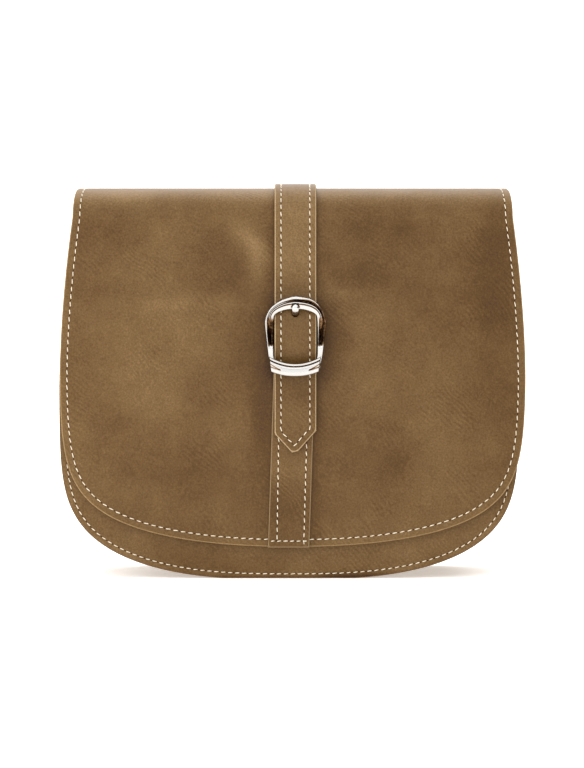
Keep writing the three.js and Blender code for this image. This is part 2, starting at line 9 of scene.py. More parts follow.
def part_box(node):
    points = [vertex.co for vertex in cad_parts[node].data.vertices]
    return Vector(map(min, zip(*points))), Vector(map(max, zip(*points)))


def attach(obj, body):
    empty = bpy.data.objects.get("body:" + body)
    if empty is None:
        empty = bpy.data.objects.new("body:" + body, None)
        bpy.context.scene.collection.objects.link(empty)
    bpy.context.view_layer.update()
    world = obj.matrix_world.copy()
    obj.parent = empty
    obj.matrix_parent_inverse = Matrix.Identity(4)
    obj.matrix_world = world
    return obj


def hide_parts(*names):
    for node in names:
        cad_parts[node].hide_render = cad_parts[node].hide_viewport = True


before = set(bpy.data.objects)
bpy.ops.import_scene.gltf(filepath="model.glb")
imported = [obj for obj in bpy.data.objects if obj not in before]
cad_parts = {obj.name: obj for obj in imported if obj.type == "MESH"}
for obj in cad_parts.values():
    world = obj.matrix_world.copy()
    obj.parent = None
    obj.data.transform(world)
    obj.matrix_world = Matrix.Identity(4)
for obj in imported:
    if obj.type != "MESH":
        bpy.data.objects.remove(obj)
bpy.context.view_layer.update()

# The product photograph: a long lens straight in front of the bag, a few degrees above it.
# Sizes are in millimetres throughout, and MM turns them into Blender's metres.
MM = 0.001
PHOTO_WIDTH = 584
PHOTO_MIDDLE = (292, 384)
BODY_MIDDLE_PIXEL = 289.4  # the body's centre line in the photograph
FLOOR_PIXEL = 578.8  # where the bag touches the floor
MM_PER_PIXEL = 0.515
CAMERA_DISTANCE = 2600
CAMERA_RISE = 4  # degrees above the horizon

panel_low, panel_high = (np.array(corner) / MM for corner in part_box("front_panel"))
gusset_low, gusset_high = (np.array(corner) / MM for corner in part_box("gusset"))
mid_x = (panel_low[0] + panel_high[0]) / 2
mid_y = (gusset_low[1] + gusset_high[1]) / 2

target = Vector((
    mid_x + (PHOTO_MIDDLE[0] - BODY_MIDDLE_PIXEL) * MM_PER_PIXEL,
    gusset_low[1],
    (FLOOR_PIXEL - PHOTO_MIDDLE[1]) * MM_PER_PIXEL,
)) * MM
rise = math.radians(CAMERA_RISE)
back_off = Vector((0, -math.cos(rise), math.sin(rise))) * CAMERA_DISTANCE * MM

camera = bpy.data.objects.new("camera", bpy.data.cameras.new("camera"))
camera.location = target + back_off
camera.rotation_euler = (-back_off).to_track_quat("-Z", "Y").to_euler()
camera.data.sensor_fit = "HORIZONTAL"
camera.data.lens = camera.data.sensor_width * CAMERA_DISTANCE / (PHOTO_WIDTH * MM_PER_PIXEL)
camera.data.clip_end = 50
bpy.context.scene.collection.objects.link(camera)
bpy.context.scene.camera = camera
bpy.context.scene.view_settings.view_transform = "Standard"


def srgb(code):
    """Linear colour of an sRGB hex value."""
    values = [int(code[i:i + 2], 16) / 255 for i in (0, 2, 4)]
    linear = [v / 12.92 if v <= 0.04045 else ((v + 0.055) / 1.055) ** 2.4 for v in values]
    return (*linear, 1)


def add_node(tree, kind, settings=None, links=None, stops=()):
    """A node with its settings, on properties or sockets, the outputs linked into it and, for a
    colour ramp, its stops."""
    node = tree.nodes.new(kind)
    for key, value in (settings or {}).items():
        if isinstance(key, int) or key in node.inputs:
            node.inputs[key].default_value = value
        else:
            setattr(node, key, value)
    for key, output in (links or {}).items():
        tree.links.new(output, node.inputs[key])
    for i, (position, code) in enumerate(stops):
        marks = node.color_ramp.elements
        mark = marks[i] if i < 2 else marks.new(position)
        mark.position, mark.color = position, srgb(code)
    return node


def new_material(name):
    """An empty node material and its tree."""
    material = bpy.data.materials.new(name)
    material.use_nodes = True
    material.node_tree.nodes.clear()
    return material, material.node_tree


# The floor is a broad matt white card, lit until it is as pale as the room. It glows a little
# from underneath, so the bag's contact shadow stays small, soft and slightly warm.
BOARD_HALF = 30000
BOARD_FIBRE = 1.5  # the size of the card's felt
BOARD_GLOW = 0.47


def flat_board(name, corners, finish):
    """A flat board with four corners that belongs to the studio."""
    mesh = bpy.data.meshes.new(name)
    mesh.from_pydata([Vector(corner) * MM for corner in corners], [], [(0, 1, 2, 3)])
    mesh.materials.append(finish)
    standing = bpy.data.objects.new(name, mesh)
    bpy.context.scene.collection.objects.link(standing)
    return standing


card, tree = new_material("matt_white_card")
place_of = add_node(tree, "ShaderNodeTexCoord")
fibre = add_node(
    tree, "ShaderNodeTexNoise", {"Scale": 1 / (BOARD_FIBRE * MM), "Detail": 2},
    {"Vector": place_of.outputs["Object"]},
)
fibre_bump = add_node(
    tree, "ShaderNodeBump", {"Strength": 0.05, "Distance": 0.1 * MM},
    {"Height": fibre.outputs["Fac"]},
)
card_surface = add_node(
    tree, "ShaderNodeBsdfPrincipled",
    {
        "Base Color": srgb("F7F6F5"), "Roughness": 0.9, "Specular IOR Level": 0.1,
        "Emission Color": srgb("FFF6EC"), "Emission Strength": BOARD_GLOW,
    },
    {"Normal": fibre_bump.outputs["Normal"]},
)
add_node(tree, "ShaderNodeOutputMaterial", links={"Surface": card_surface.outputs["BSDF"]})
board = flat_board("white_board", [
    (x * BOARD_HALF, y * BOARD_HALF, 0) for x, y in ((-1, -1), (1, -1), (1, 1), (-1, 1))
], card)

# Light comes from a wide overhead bank, which bleaches the board, from a softbox high behind the
# bag, which draws the pale sheen along the top fold, and from one on the left. A black flag
# stands on the right, as beside polished metal, so the buckle's right-hand slopes turn dark.
BANK_STRENGTH = 3.35
BANK_SPREAD = 110  # degrees, for a soft contact shadow
BANK_TILT = (17, -4)  # degrees towards the camera and to the left
SOFTBOXES = {
    "left_softbox": {"at": (-1300, -1500, 900), "size": 900, "watts": 4},
    "back_softbox": {"at": (0, 800, 1200), "size": 1400, "watts": 13},
}
FLAG_X = 700
FLAG_DEPTHS = (-1100, 250)
FLAG_HEIGHTS = (140, 800)
WALL_LIGHT = 1.7
CEILING_LIGHT = 0.3
WALL_TOP = (0.16, 0.45)  # sines of the angles between which the far wall fades out

bank = bpy.data.objects.new("overhead_bank", bpy.data.lights.new("overhead_bank", "SUN"))
bank.data.energy = BANK_STRENGTH
bank.data.angle = math.radians(BANK_SPREAD)
bank.rotation_euler = [math.radians(turn) for turn in (*BANK_TILT, 0)]
bpy.context.scene.collection.objects.link(bank)

for name, box in SOFTBOXES.items():
    softbox = bpy.data.objects.new(name, bpy.data.lights.new(name, "AREA"))
    softbox.data.size = box["size"] * MM
    softbox.data.energy = box["watts"]
    softbox.location = Vector(box["at"]) * MM
    softbox.rotation_euler = (target - softbox.location).to_track_quat("-Z", "Y").to_euler()
    softbox.visible_camera = False
    bpy.context.scene.collection.objects.link(softbox)

felt, tree = new_material("matt_black_felt")
felt_surface = add_node(
    tree, "ShaderNodeBsdfPrincipled",
    {"Base Color": srgb("1C1A18"), "Roughness": 1, "Specular IOR Level": 0},
)
add_node(tree, "ShaderNodeOutputMaterial", links={"Surface": felt_surface.outputs["BSDF"]})
flag = flat_board("black_flag", [
    (FLAG_X, FLAG_DEPTHS[i], FLAG_HEIGHTS[j]) for i, j in ((0, 0), (1, 0), (1, 1), (0, 1))
], felt)
flag.visible_camera = False

room = bpy.data.worlds.new("pale_room")
room.use_nodes = True
tree = room.node_tree
tree.nodes.clear()
direction = add_node(tree, "ShaderNodeTexCoord").outputs["Generated"]
upward = add_node(tree, "ShaderNodeSeparateXYZ", links={"Vector": direction}).outputs["Z"]
wall = add_node(
    tree, "ShaderNodeMapRange",
    {
        "interpolation_type": "SMOOTHSTEP", "From Min": WALL_TOP[0], "From Max": WALL_TOP[1],
        "To Min": WALL_LIGHT, "To Max": CEILING_LIGHT,
    },
    {"Value": upward},
)
glow = add_node(
    tree, "ShaderNodeBackground", {"Color": srgb("FFFFFF")}, {"Strength": wall.outputs["Result"]},
)
add_node(tree, "ShaderNodeOutputWorld", links={"Surface": glow.outputs["Background"]})
bpy.context.scene.world = room

# The front and back panels are 2 mm vegetable-tanned cowhide, cut to one round outline. Each
# was stretched wet over a former, so its middle stands out, and its base is pressed flat.
BODY_HALF = (panel_high[0] - panel_low[0]) / 2
BODY_HEIGHT = panel_high[2]
WIDEST_HEIGHT = 95
MOUTH_NARROWING = 8.6
NARROWING_CURVE = 1.86
FLOOR_FLAT = 0.8  # how much of the round base is pressed flat
BODY_ROLL = 27.6  # how the outline rolls in towards the floor: height, swell and squareness
BODY_SWELL = 1.55
BODY_SQUARE = 4.35
SEAT = 0.3  # the play between two pieces that lie on each other
BASE_DEPTH = gusset_high[1] - gusset_low[1] + 2 * SEAT
MOUTH_DEPTH = 44
PANEL_LEATHER = 2
FRONT_CROWN = 7
BACK_CROWN = 3
CROWN_SQUARE = 2.5
CROWN_ARCH = 0.88  # the crown is fullest in the lower half and flat at the mouth
CROWN_LOW = 0.75
EDGE_ROUND = 0.55  # the cut edges are rubbed round by this much
EDGE_RINGS = (0.12, 0.3, 0.55, 1.1, 1.9)  # depths of the mesh's rows along each edge
ROW_CLEAR = 0.96  # a row's points that lie nearer to an edge than this share of it are left out
PANEL_MARGIN = 3.2  # from the edge to the seam
GROOVE_DEPTH = 0.16  # a seam pulls the leather in
GROOVE_HALF = 0.75
MARGIN_TONE = 0.05  # how much paler the margin is
PANEL_GRID = 2.6  # the mesh's spacing inside, and along the edge
PANEL_EDGE_STEP = 1.8
SEAM_STEP = 1.5


def narrowing(height, top):
    """How much each side has drawn in at a height above the widest part."""
    share = np.clip((height - WIDEST_HEIGHT) / (top - WIDEST_HEIGHT), 0, 1)
    return MOUTH_NARROWING * share ** NARROWING_CURVE


def outline_half(full, height, roll, swell, square):
    """Half width of an outline that rolls in towards its lowest point."""
    return full * (1 - np.exp(-(np.maximum(height, 0) / roll) ** swell)) ** (1 / square)


def body_half(height):
    """Half width of the body at a height above the floor."""
    low = outline_half(BODY_HALF, height + FLOOR_FLAT, BODY_ROLL, BODY_SWELL, BODY_SQUARE)
    return low - narrowing(height, BODY_HEIGHT)


def seam_half(height):
    """Half the room between the panels' seam faces."""
    return (BASE_DEPTH + (MOUTH_DEPTH - BASE_DEPTH) * height / BODY_HEIGHT) / 2


def crown_at(crown, x, height):
    """How far a panel swells out between its seams."""
    share = np.clip(height / BODY_HEIGHT, 0, 1)
    edge = np.minimum(np.abs(x) / body_half(share * BODY_HEIGHT), 1)
    arch = np.sin(np.pi * CROWN_ARCH * share ** CROWN_LOW)
    return crown * (1 - edge ** CROWN_SQUARE) * arch


def walk_along(line):
    """The distance walked from the start of a line to each of its points."""
    return np.concatenate([[0], np.cumsum(np.sqrt((np.diff(line, axis=0) ** 2).sum(1)))])


def points_at(stops, walk, line):
    """The points at these distances along a line."""
    return np.column_stack([np.interp(stops, walk, column) for column in line.T])


def run_between(low, high, walk, line):
    """The unit step from one distance along a flat line to another."""
    run = points_at(high, walk, line) - points_at(low, walk, line)
    return run / np.hypot(*run.T)[:, None]


def even_points(curves, spacing):
    """One closed loop through curves that meet end to end, at an even spacing on each."""
    loop = []
    for curve in curves:
        walk = walk_along(curve)
        stops = np.linspace(0, walk[-1], max(2, round(walk[-1] / spacing) + 1))[:-1]
        loop.append(points_at(stops, walk, curve))
    return np.vstack(loop)


def distance_to(points, loops):
    """Distance from each point of a flat pattern to the nearest edge of these loops."""
    nearest = np.full(len(points), np.inf)
    for loop in loops:
        step = np.roll(loop, -1, axis=0) - loop
        for first in range(0, len(points), 2000):
            offset = points[first:first + 2000, None] - loop
            share = np.clip((offset * step).sum(2) / (step ** 2).sum(1), 0, 1)
            gap = offset - share[..., None] * step
            found = np.sqrt((gap ** 2).sum(2)).min(1)
            nearest[first:first + 2000] = np.minimum(nearest[first:first + 2000], found)
    return nearest


def is_inside(points, loop):
    """Whether each point of a flat pattern lies inside the loop."""
    after = np.roll(loop, -1, axis=0)
    x, y = points[:, :1], points[:, 1:]
    crosses = (loop[:, 1] > y) != (after[:, 1] > y)
    run = np.where(after[:, 1] == loop[:, 1], 1, after[:, 1] - loop[:, 1])
    at = loop[:, 0] + (y - loop[:, 1]) / run * (after[:, 0] - loop[:, 0])
    return (crosses & (x < at)).sum(1) % 2 == 1


def sideways(line, closed):
    """Unit steps to the left of each point of a line."""
    run = np.roll(line, -1, axis=0) - np.roll(line, 1, axis=0) if closed else np.gradient(line, axis=0)
    return np.column_stack([-run[:, 1], run[:, 0]]) / np.hypot(*run.T)[:, None]


def inset_line(loop, depth):
    """The closed line that runs at this depth inside a loop that turns left."""
    line = loop + sideways(loop, True) * depth
    line = line[distance_to(line, [loop]) > 0.97 * depth]
    return np.vstack([line, line[:1]])


def there_and_back(line):
    """An open line as a loop without width."""
    return np.vstack([line, line[-2:0:-1]])


def cut_sheet(outline, spacing, seams, holes=()):
    """A flat pattern as fine triangles: its points and triangles, and each point's distance
    from the outer edge, from any edge and from the seams. The outline turns left and each hole
    turns right, so the leather is on their left."""
    loops = [outline, *holes]
    rings = []
    for loop in loops:
        for depth in EDGE_RINGS:
            ring = loop + sideways(loop, True) * depth
            rings.append(ring[distance_to(ring, loops) > ROW_CLEAR * depth])
    sewn = [there_and_back(seam) for seam in seams]
    for seam in seams:
        for side in (-GROOVE_HALF, 0, GROOVE_HALF):
            row = seam + sideways(seam, False) * side
            clear = distance_to(row, loops) > EDGE_RINGS[-1] + 0.3
            clear &= distance_to(row, sewn) > ROW_CLEAR * abs(side) - 0.01
            rings.append(row[clear & is_inside(row, outline)])
    columns = np.arange(outline[:, 0].min(), outline[:, 0].max(), spacing)
    rows = np.arange(outline[:, 1].min(), outline[:, 1].max(), spacing * math.sqrt(3) / 2)
    grid = np.array([(x + spacing / 2 * (i % 2), y) for i, y in enumerate(rows) for x in columns])
    grid = grid[is_inside(grid, outline)]
    grid = grid[distance_to(grid, [outline]) > EDGE_RINGS[-1] + spacing / 2]
    grid = grid[distance_to(grid, sewn) > GROOVE_HALF + spacing / 3]
    if holes:
        grid = grid[distance_to(grid, holes) > EDGE_RINGS[-1] + spacing / 3]
    flat = np.vstack([*loops, *rings, grid])
    hole_edges, first = [], len(outline)
    for hole in holes:
        hole_edges += [(first + i, first + (i + 1) % len(hole)) for i in range(len(hole))]
        first += len(hole)
    cut = delaunay_2d_cdt(
        [Vector(point) for point in flat], hole_edges, [list(range(len(outline)))], 1, 1e-5,
    )
    points = np.array([point[:] for point in cut[0]])
    triangles = np.array(cut[2])
    for hole in holes:
        triangles = triangles[~is_inside(points[triangles].mean(1), hole)]
    used, packed = np.unique(triangles, return_inverse=True)
    points = points[used]
    away = [distance_to(points, lines) for lines in ([outline], loops, sewn)]
    return points, packed.reshape(-1, 3), *away


def new_piece(name, points, faces, finishes, finish_of=None, values=None):
    """A smooth mesh object from points in millimetres, with its finishes and point values."""
    mesh = bpy.data.meshes.new(name)
    mesh.from_pydata((points * MM).tolist(), [], [list(face) for face in faces])
    for finish in finishes:
        mesh.materials.append(finish)
    if finish_of is not None:
        mesh.polygons.foreach_set("material_index", np.asarray(finish_of, np.int32))
    mesh.polygons.foreach_set("use_smooth", np.ones(len(mesh.polygons), bool))
    for key, numbers in (values or {}).items():
        layer = mesh.attributes.new(key, "FLOAT", "POINT")
        layer.data.foreach_set("value", np.asarray(numbers, np.float32))
    mesh.update()
    piece = bpy.data.objects.new(name, mesh)
    bpy.context.scene.collection.objects.link(piece)
    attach(piece, "root")
    return piece


def smooth(value, start, end):
    """Smooth step from 0 at start to 1 at end."""
    share = np.clip((value - start) / (end - start), 0, 1)
    return share * share * (3 - 2 * share)


def faced_out(points, triangles, faces):
    """The faces of a closed skin, turned round if its triangles face inwards."""
    corner = points[triangles]
    inwards = (corner[:, 0] * np.cross(corner[:, 1], corner[:, 2])).sum() < 0
    return [face[::-1] for face in faces] if inwards else faces


def leather_piece(name, sheet, place, thickness, finishes, tone_and_shading=None, margin=None):
    """A flat pattern bent to its place, with a grain face, a flesh face and a rubbed edge.
    place gives the point that lies a distance out from the piece's inner face. Outside the
    seam, in its margin, the leather is a little paler."""
    flat, triangles, edge, cut, seam = sheet
    rub = EDGE_ROUND * (1 - np.sqrt(1 - np.clip(1 - cut / EDGE_ROUND, 0, 1) ** 2))
    groove = GROOVE_DEPTH * np.exp(-(seam / GROOVE_HALF * 1.5) ** 2)
    grain = place(*flat.T, thickness - rub - groove)
    flesh = place(*flat.T, rub)
    count = len(flat)
    directed = np.vstack([triangles[:, [0, 1]], triangles[:, [1, 2]], triangles[:, [2, 0]]])
    forward, backward = directed @ [count, 1], directed @ [1, count]
    rim = directed[~np.isin(forward, backward)]
    side = np.column_stack([rim[:, 1], rim[:, 0], rim[:, 0] + count, rim[:, 1] + count])
    points = np.vstack([grain, flesh])
    both = np.vstack([triangles, triangles[:, ::-1] + count])
    faces = faced_out(points, both, [*both.tolist(), *side.tolist()])
    rubbed = edge[triangles].mean(1) < EDGE_ROUND
    side_finish = np.where(edge[rim[:, 0]] < 0.01, 2, 1)
    finish_of = [*np.where(rubbed, 2, 0), *[1] * len(triangles), *side_finish]
    # The tone function gives the hide's tone and, on some pieces, painted light and shade.
    shade = tone_and_shading(*flat.T) if tone_and_shading else np.zeros(count)
    if margin:
        shade = shade + MARGIN_TONE * (1 - smooth(edge, margin - 0.8, margin + 0.4))
    return new_piece(name, points, faces, finishes, finish_of, {"tone_and_shading": np.tile(shade, 2)})


def waxed_leather(name, stops, roughness, amounts):
    """Vegetable-tanned cowhide, drum dyed and waxed: the wax moves in the fibres, so the colour
    drifts in soft patches, the grain shows as fine speckle and the finish is a low satin. The
    amounts are those of the patches, clouds, speckle and wrinkles."""
    patch, cloud, speck, pore, wrinkle = 42, 8, 0.9, 0.9, 2.3  # millimetres across
    material, tree = new_material(name)
    where = add_node(tree, "ShaderNodeTexCoord").outputs["Object"]
    patches, clouds, speckle = (
        add_node(
            tree, "ShaderNodeTexNoise",
            {"Scale": 1 / (size * MM), "Detail": detail, "Roughness": rough}, {"Vector": where},
        ).outputs["Fac"]
        for size, detail, rough in ((patch, 2, 0.5), (cloud, 5, 0.6), (speck, 2, 0.7))
    )
    pores = add_node(
        tree, "ShaderNodeTexVoronoi",
        {"feature": "DISTANCE_TO_EDGE", "Scale": 1 / (pore * MM), "Randomness": 1},
        {"Vector": where},
    )
    # Fans of fine wrinkles, where the hide was loose, that bend gently and fade out. A wave
    # texture repeats every 2 pi / (10 * scale), and its bands here run across a diagonal.
    fans = add_node(
        tree, "ShaderNodeTexWave",
        {
            "bands_direction": "DIAGONAL", "Scale": 2 * math.pi / (10 * 1.41 * wrinkle * MM),
            "Distortion": 24, "Detail": 3, "Detail Scale": 0.15, "Detail Roughness": 0.55,
        },
        {"Vector": where},
    )
    slack = add_node(
        tree, "ShaderNodeTexNoise", {"Scale": 1 / (0.6 * patch * MM), "Detail": 1},
        {"Vector": where},
    )
    loose = add_node(
        tree, "ShaderNodeMapRange", {"From Min": 0.48, "From Max": 0.68},
        {"Value": slack.outputs["Fac"]},
    )
    wrinkles = add_node(
        tree, "ShaderNodeMix", {"A": 0.5}, {"Factor": loose.outputs["Result"], "B": fans.outputs["Fac"]},
    ).outputs["Result"]
    # The tone attribute carries the hide's tone and, on some pieces, painted light and shade.
    value = add_node(tree, "ShaderNodeAttribute", {"attribute_name": "tone_and_shading"}).outputs["Fac"]
    for source, amount in zip((patches, clouds, speckle, wrinkles), amounts):
        value = add_node(
            tree, "ShaderNodeMath", {"operation": "MULTIPLY_ADD", 1: amount}, {0: source, 2: value},
        ).outputs[0]
    value = add_node(
        tree, "ShaderNodeMath", {"operation": "ADD", 1: 0.5 - sum(amounts) / 2}, {0: value},
    ).outputs[0]
    ramp = add_node(tree, "ShaderNodeValToRGB", links={"Fac": value}, stops=stops)
    shine = add_node(
        tree, "ShaderNodeMapRange",
        {"From Min": 0.3, "From Max": 0.7, "To Min": roughness - 0.06, "To Max": roughness + 0.06},
        {"Value": clouds},
    )
    grain = add_node(
        tree, "ShaderNodeBump", {"Strength": 0.3, "Distance": 0.12 * MM},
        {"Height": pores.outputs["Distance"]},
    )
    soft = add_node(
        tree, "ShaderNodeBump", {"Strength": 0.4, "Distance": 0.5 * MM},
        {"Height": clouds, "Normal": grain.outputs["Normal"]},
    )
    creased = add_node(
        tree, "ShaderNodeBump", {"Strength": 0.35, "Distance": 0.25 * MM},
        {"Height": wrinkles, "Normal": soft.outputs["Normal"]},
    )
    surface = add_node(
        tree, "ShaderNodeBsdfPrincipled", {"IOR": 1.5, "Specular IOR Level": 0.2},
        {
            "Base Color": ramp.outputs["Color"],
            "Roughness": shine.outputs["Result"],
            "Normal": creased.outputs["Normal"],
        },
    )
    add_node(tree, "ShaderNodeOutputMaterial", links={"Surface": surface.outputs["BSDF"]})
    return material


def fibrous_leather(name, dark, light, fibre, roughness):
    """The undyed side of the hide, or its cut edge: matt loose fibre, paler than the grain."""
    material, tree = new_material(name)
    where = add_node(tree, "ShaderNodeTexCoord").outputs["Object"]
    fibres = add_node(
        tree, "ShaderNodeTexNoise", {"Scale": 1 / (fibre * MM), "Detail": 5, "Roughness": 0.7},
        {"Vector": where},
    )
    ramp = add_node(
        tree, "ShaderNodeValToRGB", links={"Fac": fibres.outputs["Fac"]},
        stops=[(0.3, dark), (0.7, light)],
    )
    nap = add_node(
        tree, "ShaderNodeBump", {"Strength": 0.5, "Distance": 0.15 * MM},
        {"Height": fibres.outputs["Fac"]},
    )
    surface = add_node(
        tree, "ShaderNodeBsdfPrincipled", {"Roughness": roughness, "Specular IOR Level": 0.25},
        {"Base Color": ramp.outputs["Color"], "Normal": nap.outputs["Normal"]},
    )
    add_node(tree, "ShaderNodeOutputMaterial", links={"Surface": surface.outputs["BSDF"]})
    return material


# The tan dye from where the wax has gathered to where it has moved away. Painted light and shade move
# along the same colours.
TAN = [(0.2, "341E07"), (0.42, "503613"), (0.58, "654C2A"), (0.9, "8E7350")]
body_leather = waxed_leather("waxed_tan_cowhide", TAN, 0.5, (0.3, 0.16, 0.42, 0.06))
flesh_side = fibrous_leather("suede_flesh_side", "8A6A45", "B08E66", 1.2, 0.95)
dyed_edge = fibrous_leather("dyed_cut_edge", "4E3719", "6E5029", 0.7, 0.6)
panel_finishes = [body_leather, flesh_side, dyed_edge]

heights = BODY_HEIGHT * np.linspace(0, 1, 500) ** 2.2
right_side = np.column_stack([body_half(heights), heights])
left_side = right_side[::-1] * (-1, 1)
body_loop = even_points([
    right_side,
    np.array([right_side[-1], left_side[0]]),
    left_side,
    np.array([left_side[-1], right_side[0]]),
], PANEL_EDGE_STEP)
# The seam was marked before the base was pressed flat, so it runs nearer the edge there.
below = np.linspace(0, FLOOR_FLAT, 40)
base_curve = np.column_stack([
    outline_half(BODY_HALF, below, BODY_ROLL, BODY_SWELL, BODY_SQUARE), below - FLOOR_FLAT,
])
uncut_loop = even_points([
    np.vstack([base_curve, right_side]),
    np.array([right_side[-1], left_side[0]]),
    np.vstack([left_side, base_curve[::-1] * (-1, 1)]),
], SEAM_STEP)
panel_seam = inset_line(uncut_loop, PANEL_MARGIN)[:-1]
at_mouth = panel_seam[:, 1] > BODY_HEIGHT - PANEL_MARGIN - 0.3
panel_seam = np.roll(panel_seam, -np.flatnonzero(at_mouth)[-1] - 1, axis=0)
panel_seam = panel_seam[:-int(at_mouth.sum())]
body_sheet = cut_sheet(body_loop, PANEL_GRID, [panel_seam])


def front_tone_and_base_shade(x, height):
    """A touch paler overall, with painted shade along the front panel's flattened base where it meets
    the floor, most of all on the right.
    """
    # The darkening along the base is painted shade.
    right = np.exp(-((x - 40) / 24) ** 4) * np.exp(-(height / 2.8) ** 2)
    return 0.02 - 0.34 * right - 0.22 * np.exp(-(height / 1.3) ** 2)


def place_front(x, height, out):
    depth = seam_half(height) + crown_at(FRONT_CROWN, x, height) + out
    return np.column_stack([mid_x + x, mid_y - depth, height])


def place_back(x, height, out):
    depth = seam_half(height) + crown_at(BACK_CROWN, x, height) + out
    return np.column_stack([mid_x + x, mid_y + depth, height])


front_panel = leather_piece(
    "front_panel_leather", body_sheet, place_front, PANEL_LEATHER, panel_finishes, front_tone_and_base_shade,
    PANEL_MARGIN,
)
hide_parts("front_panel")
back_panel = leather_piece(
    "back_panel_leather", body_sheet, place_back, PANEL_LEATHER, panel_finishes,
)
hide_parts("back_panel")

# The gusset is one long band of slightly thinner cowhide round the sides and base. Its edges
# were creased and turned outwards, and each is sewn flat against a panel as a raised seam.
GUSSET_LEATHER = 1.8
SEAM_ALLOWANCE = 7
GUSSET_BEND = 2.4
GUSSET_MARGIN = 3.2
GUSSET_STEP = 2.2
GUSSET_COLUMNS = 15
GUSSET_PROBE = 1.5  # the band's direction is taken over this much either way

outline_fine = np.vstack([left_side, right_side])
outline_fine = outline_fine[np.append(True, np.diff(walk_along(outline_fine)) > 1e-6)]
outline_walk = walk_along(outline_fine)
outline_length = outline_walk[-1]


def half_section(side):
    """Length of the band's section from its middle to one edge, side being half its depth."""
    return side + SEAM_ALLOWANCE + GUSSET_BEND * (math.pi / 2 - 2)


def place_gusset(along, share, out):
    """share runs over the band's section, from the front turned edge (-1) to the back one."""
    x, z = points_at(along, outline_walk, outline_fine).T
    run = run_between(along - GUSSET_PROBE, along + GUSSET_PROBE, outline_walk, outline_fine)
    outwards = np.column_stack([run[:, 1], -run[:, 0]])
    side = seam_half(z) - SEAT
    web, arc = side - GUSSET_BEND, GUSSET_BEND * math.pi / 2
    walked = np.abs(share) * half_section(side)
    turn = np.clip((walked - web) / arc, 0, 1) * math.pi / 2
    flange = np.maximum(walked - web - arc, 0)
    radius = GUSSET_BEND - out
    inset = SEAM_ALLOWANCE - GUSSET_BEND + radius * np.cos(turn) - flange
    depth = np.minimum(walked, web) + radius * np.sin(turn)
    return np.column_stack([
        mid_x + x - outwards[:, 0] * inset,
        mid_y + np.sign(share) * depth,
        z - outwards[:, 1] * inset,
    ])


# The mesh's rows lie close together on the turned edges and their bends, and its stations are
# even but for those at the two ends.
section_length = half_section(seam_half(0) - SEAT)
edge_stops = np.array([0, *EDGE_RINGS, 2.5, 3.2, 3.9, 4.6, 5.2, 5.8, 6.4, 7, 7.6, 8.2, 8.8, 10])
web_stops = np.linspace(edge_stops[-1], section_length, GUSSET_COLUMNS)[1:]
half_shares = 1 - np.concatenate([edge_stops, web_stops]) / section_length
shares = np.concatenate([-half_shares, half_shares[-2::-1]])
end_stops = np.array([0, *EDGE_RINGS[:3]])
stations = np.unique(np.concatenate([
    end_stops, np.linspace(1, outline_length - 1, round(outline_length / GUSSET_STEP)),
    outline_length - end_stops,
]))
band_grid = np.array([(along, share) for along in stations for share in shares])
wide = len(shares)
band_faces = np.array([
    (i * wide + j, (i + 1) * wide + j, (i + 1) * wide + j + 1, i * wide + j + 1)
    for i in range(len(stations) - 1) for j in range(wide - 1)
])
band_triangles = np.vstack([band_faces[:, [0, 1, 2]], band_faces[:, [0, 2, 3]]])
from_long_edge = (1 - np.abs(band_grid[:, 1])) * section_length
band_edge = np.minimum.reduce([
    from_long_edge, band_grid[:, 0], outline_length - band_grid[:, 0],
])
band_seam = np.abs(from_long_edge - GUSSET_MARGIN)
gusset = leather_piece(
    "gusset_leather", (band_grid, band_triangles, band_edge, band_edge, band_seam),
    place_gusset, GUSSET_LEATHER, panel_finishes,
)
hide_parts("gusset")

# The flap is one sheet of the same hide. It is sewn low on the back, folds over the mouth with
# a soft shoulder and hangs free, so it carries the soft dents and creases that use has left.
FLAP_LEATHER = 2.2
FLAP_LAP = 1.5
FLAP_SHIFT = 1.7
FLAP_HEM = 16.6
FLAP_EASE = 1.2
MOUTH_RISE = 11.6
FOLD_REACH = 14
REAR_LAP = 42
FLAP_ROLL = 18.9
FLAP_SWELL = 1.12
FLAP_SQUARE = 2.43
FLAP_MARGIN = 3.8
FLAP_HALF = BODY_HALF + FLAP_LAP
FLAP_INSIDE_TOP = BODY_HEIGHT + MOUTH_RISE
BAG_TOP = FLAP_INSIDE_TOP + FLAP_LEATHER
FLAP_GRID = 1.9
FLAP_EDGE_STEP = 1.6
FLAP_PROBE = 0.6  # the flap's direction is taken over this much either way
STRAP_WIDTH = 21.4
STRAP_ASIDE = 1.4  # the strap's middle lies to the right of the flap's
# Painted shade round the buckle: its middle height and its half sizes.
SHADED_HEIGHT = 124
SHADED_HALF = (12.5, 18)
# Soft folds and dents: across in half widths of the flap, up in heights of the bag, the half
# width and half height in half widths, the turn in degrees and the rise in parts of the ease.
FLAP_FOLDS = [
    (-0.18, 0.81, 0.055, 0.15, -22, 0.85),
    (-0.36, 0.85, 0.09, 0.12, 0, -0.4),
    (-0.5, 0.71, 0.3, 0.05, 2, 0.35),
    (0.27, 0.72, 0.17, 0.06, -4, 0.5),
    (0.25, 0.8, 0.18, 0.07, 0, -0.35),
    (0.84, 0.7, 0.1, 0.2, 0, -0.45),
    (-0.27, 0.58, 0.1, 0.16, 0, -0.4),
    (-0.78, 0.38, 0.1, 0.1, 20, -0.35),
    (0.5, 0.3, 0.22, 0.07, 24, 0.3),
]
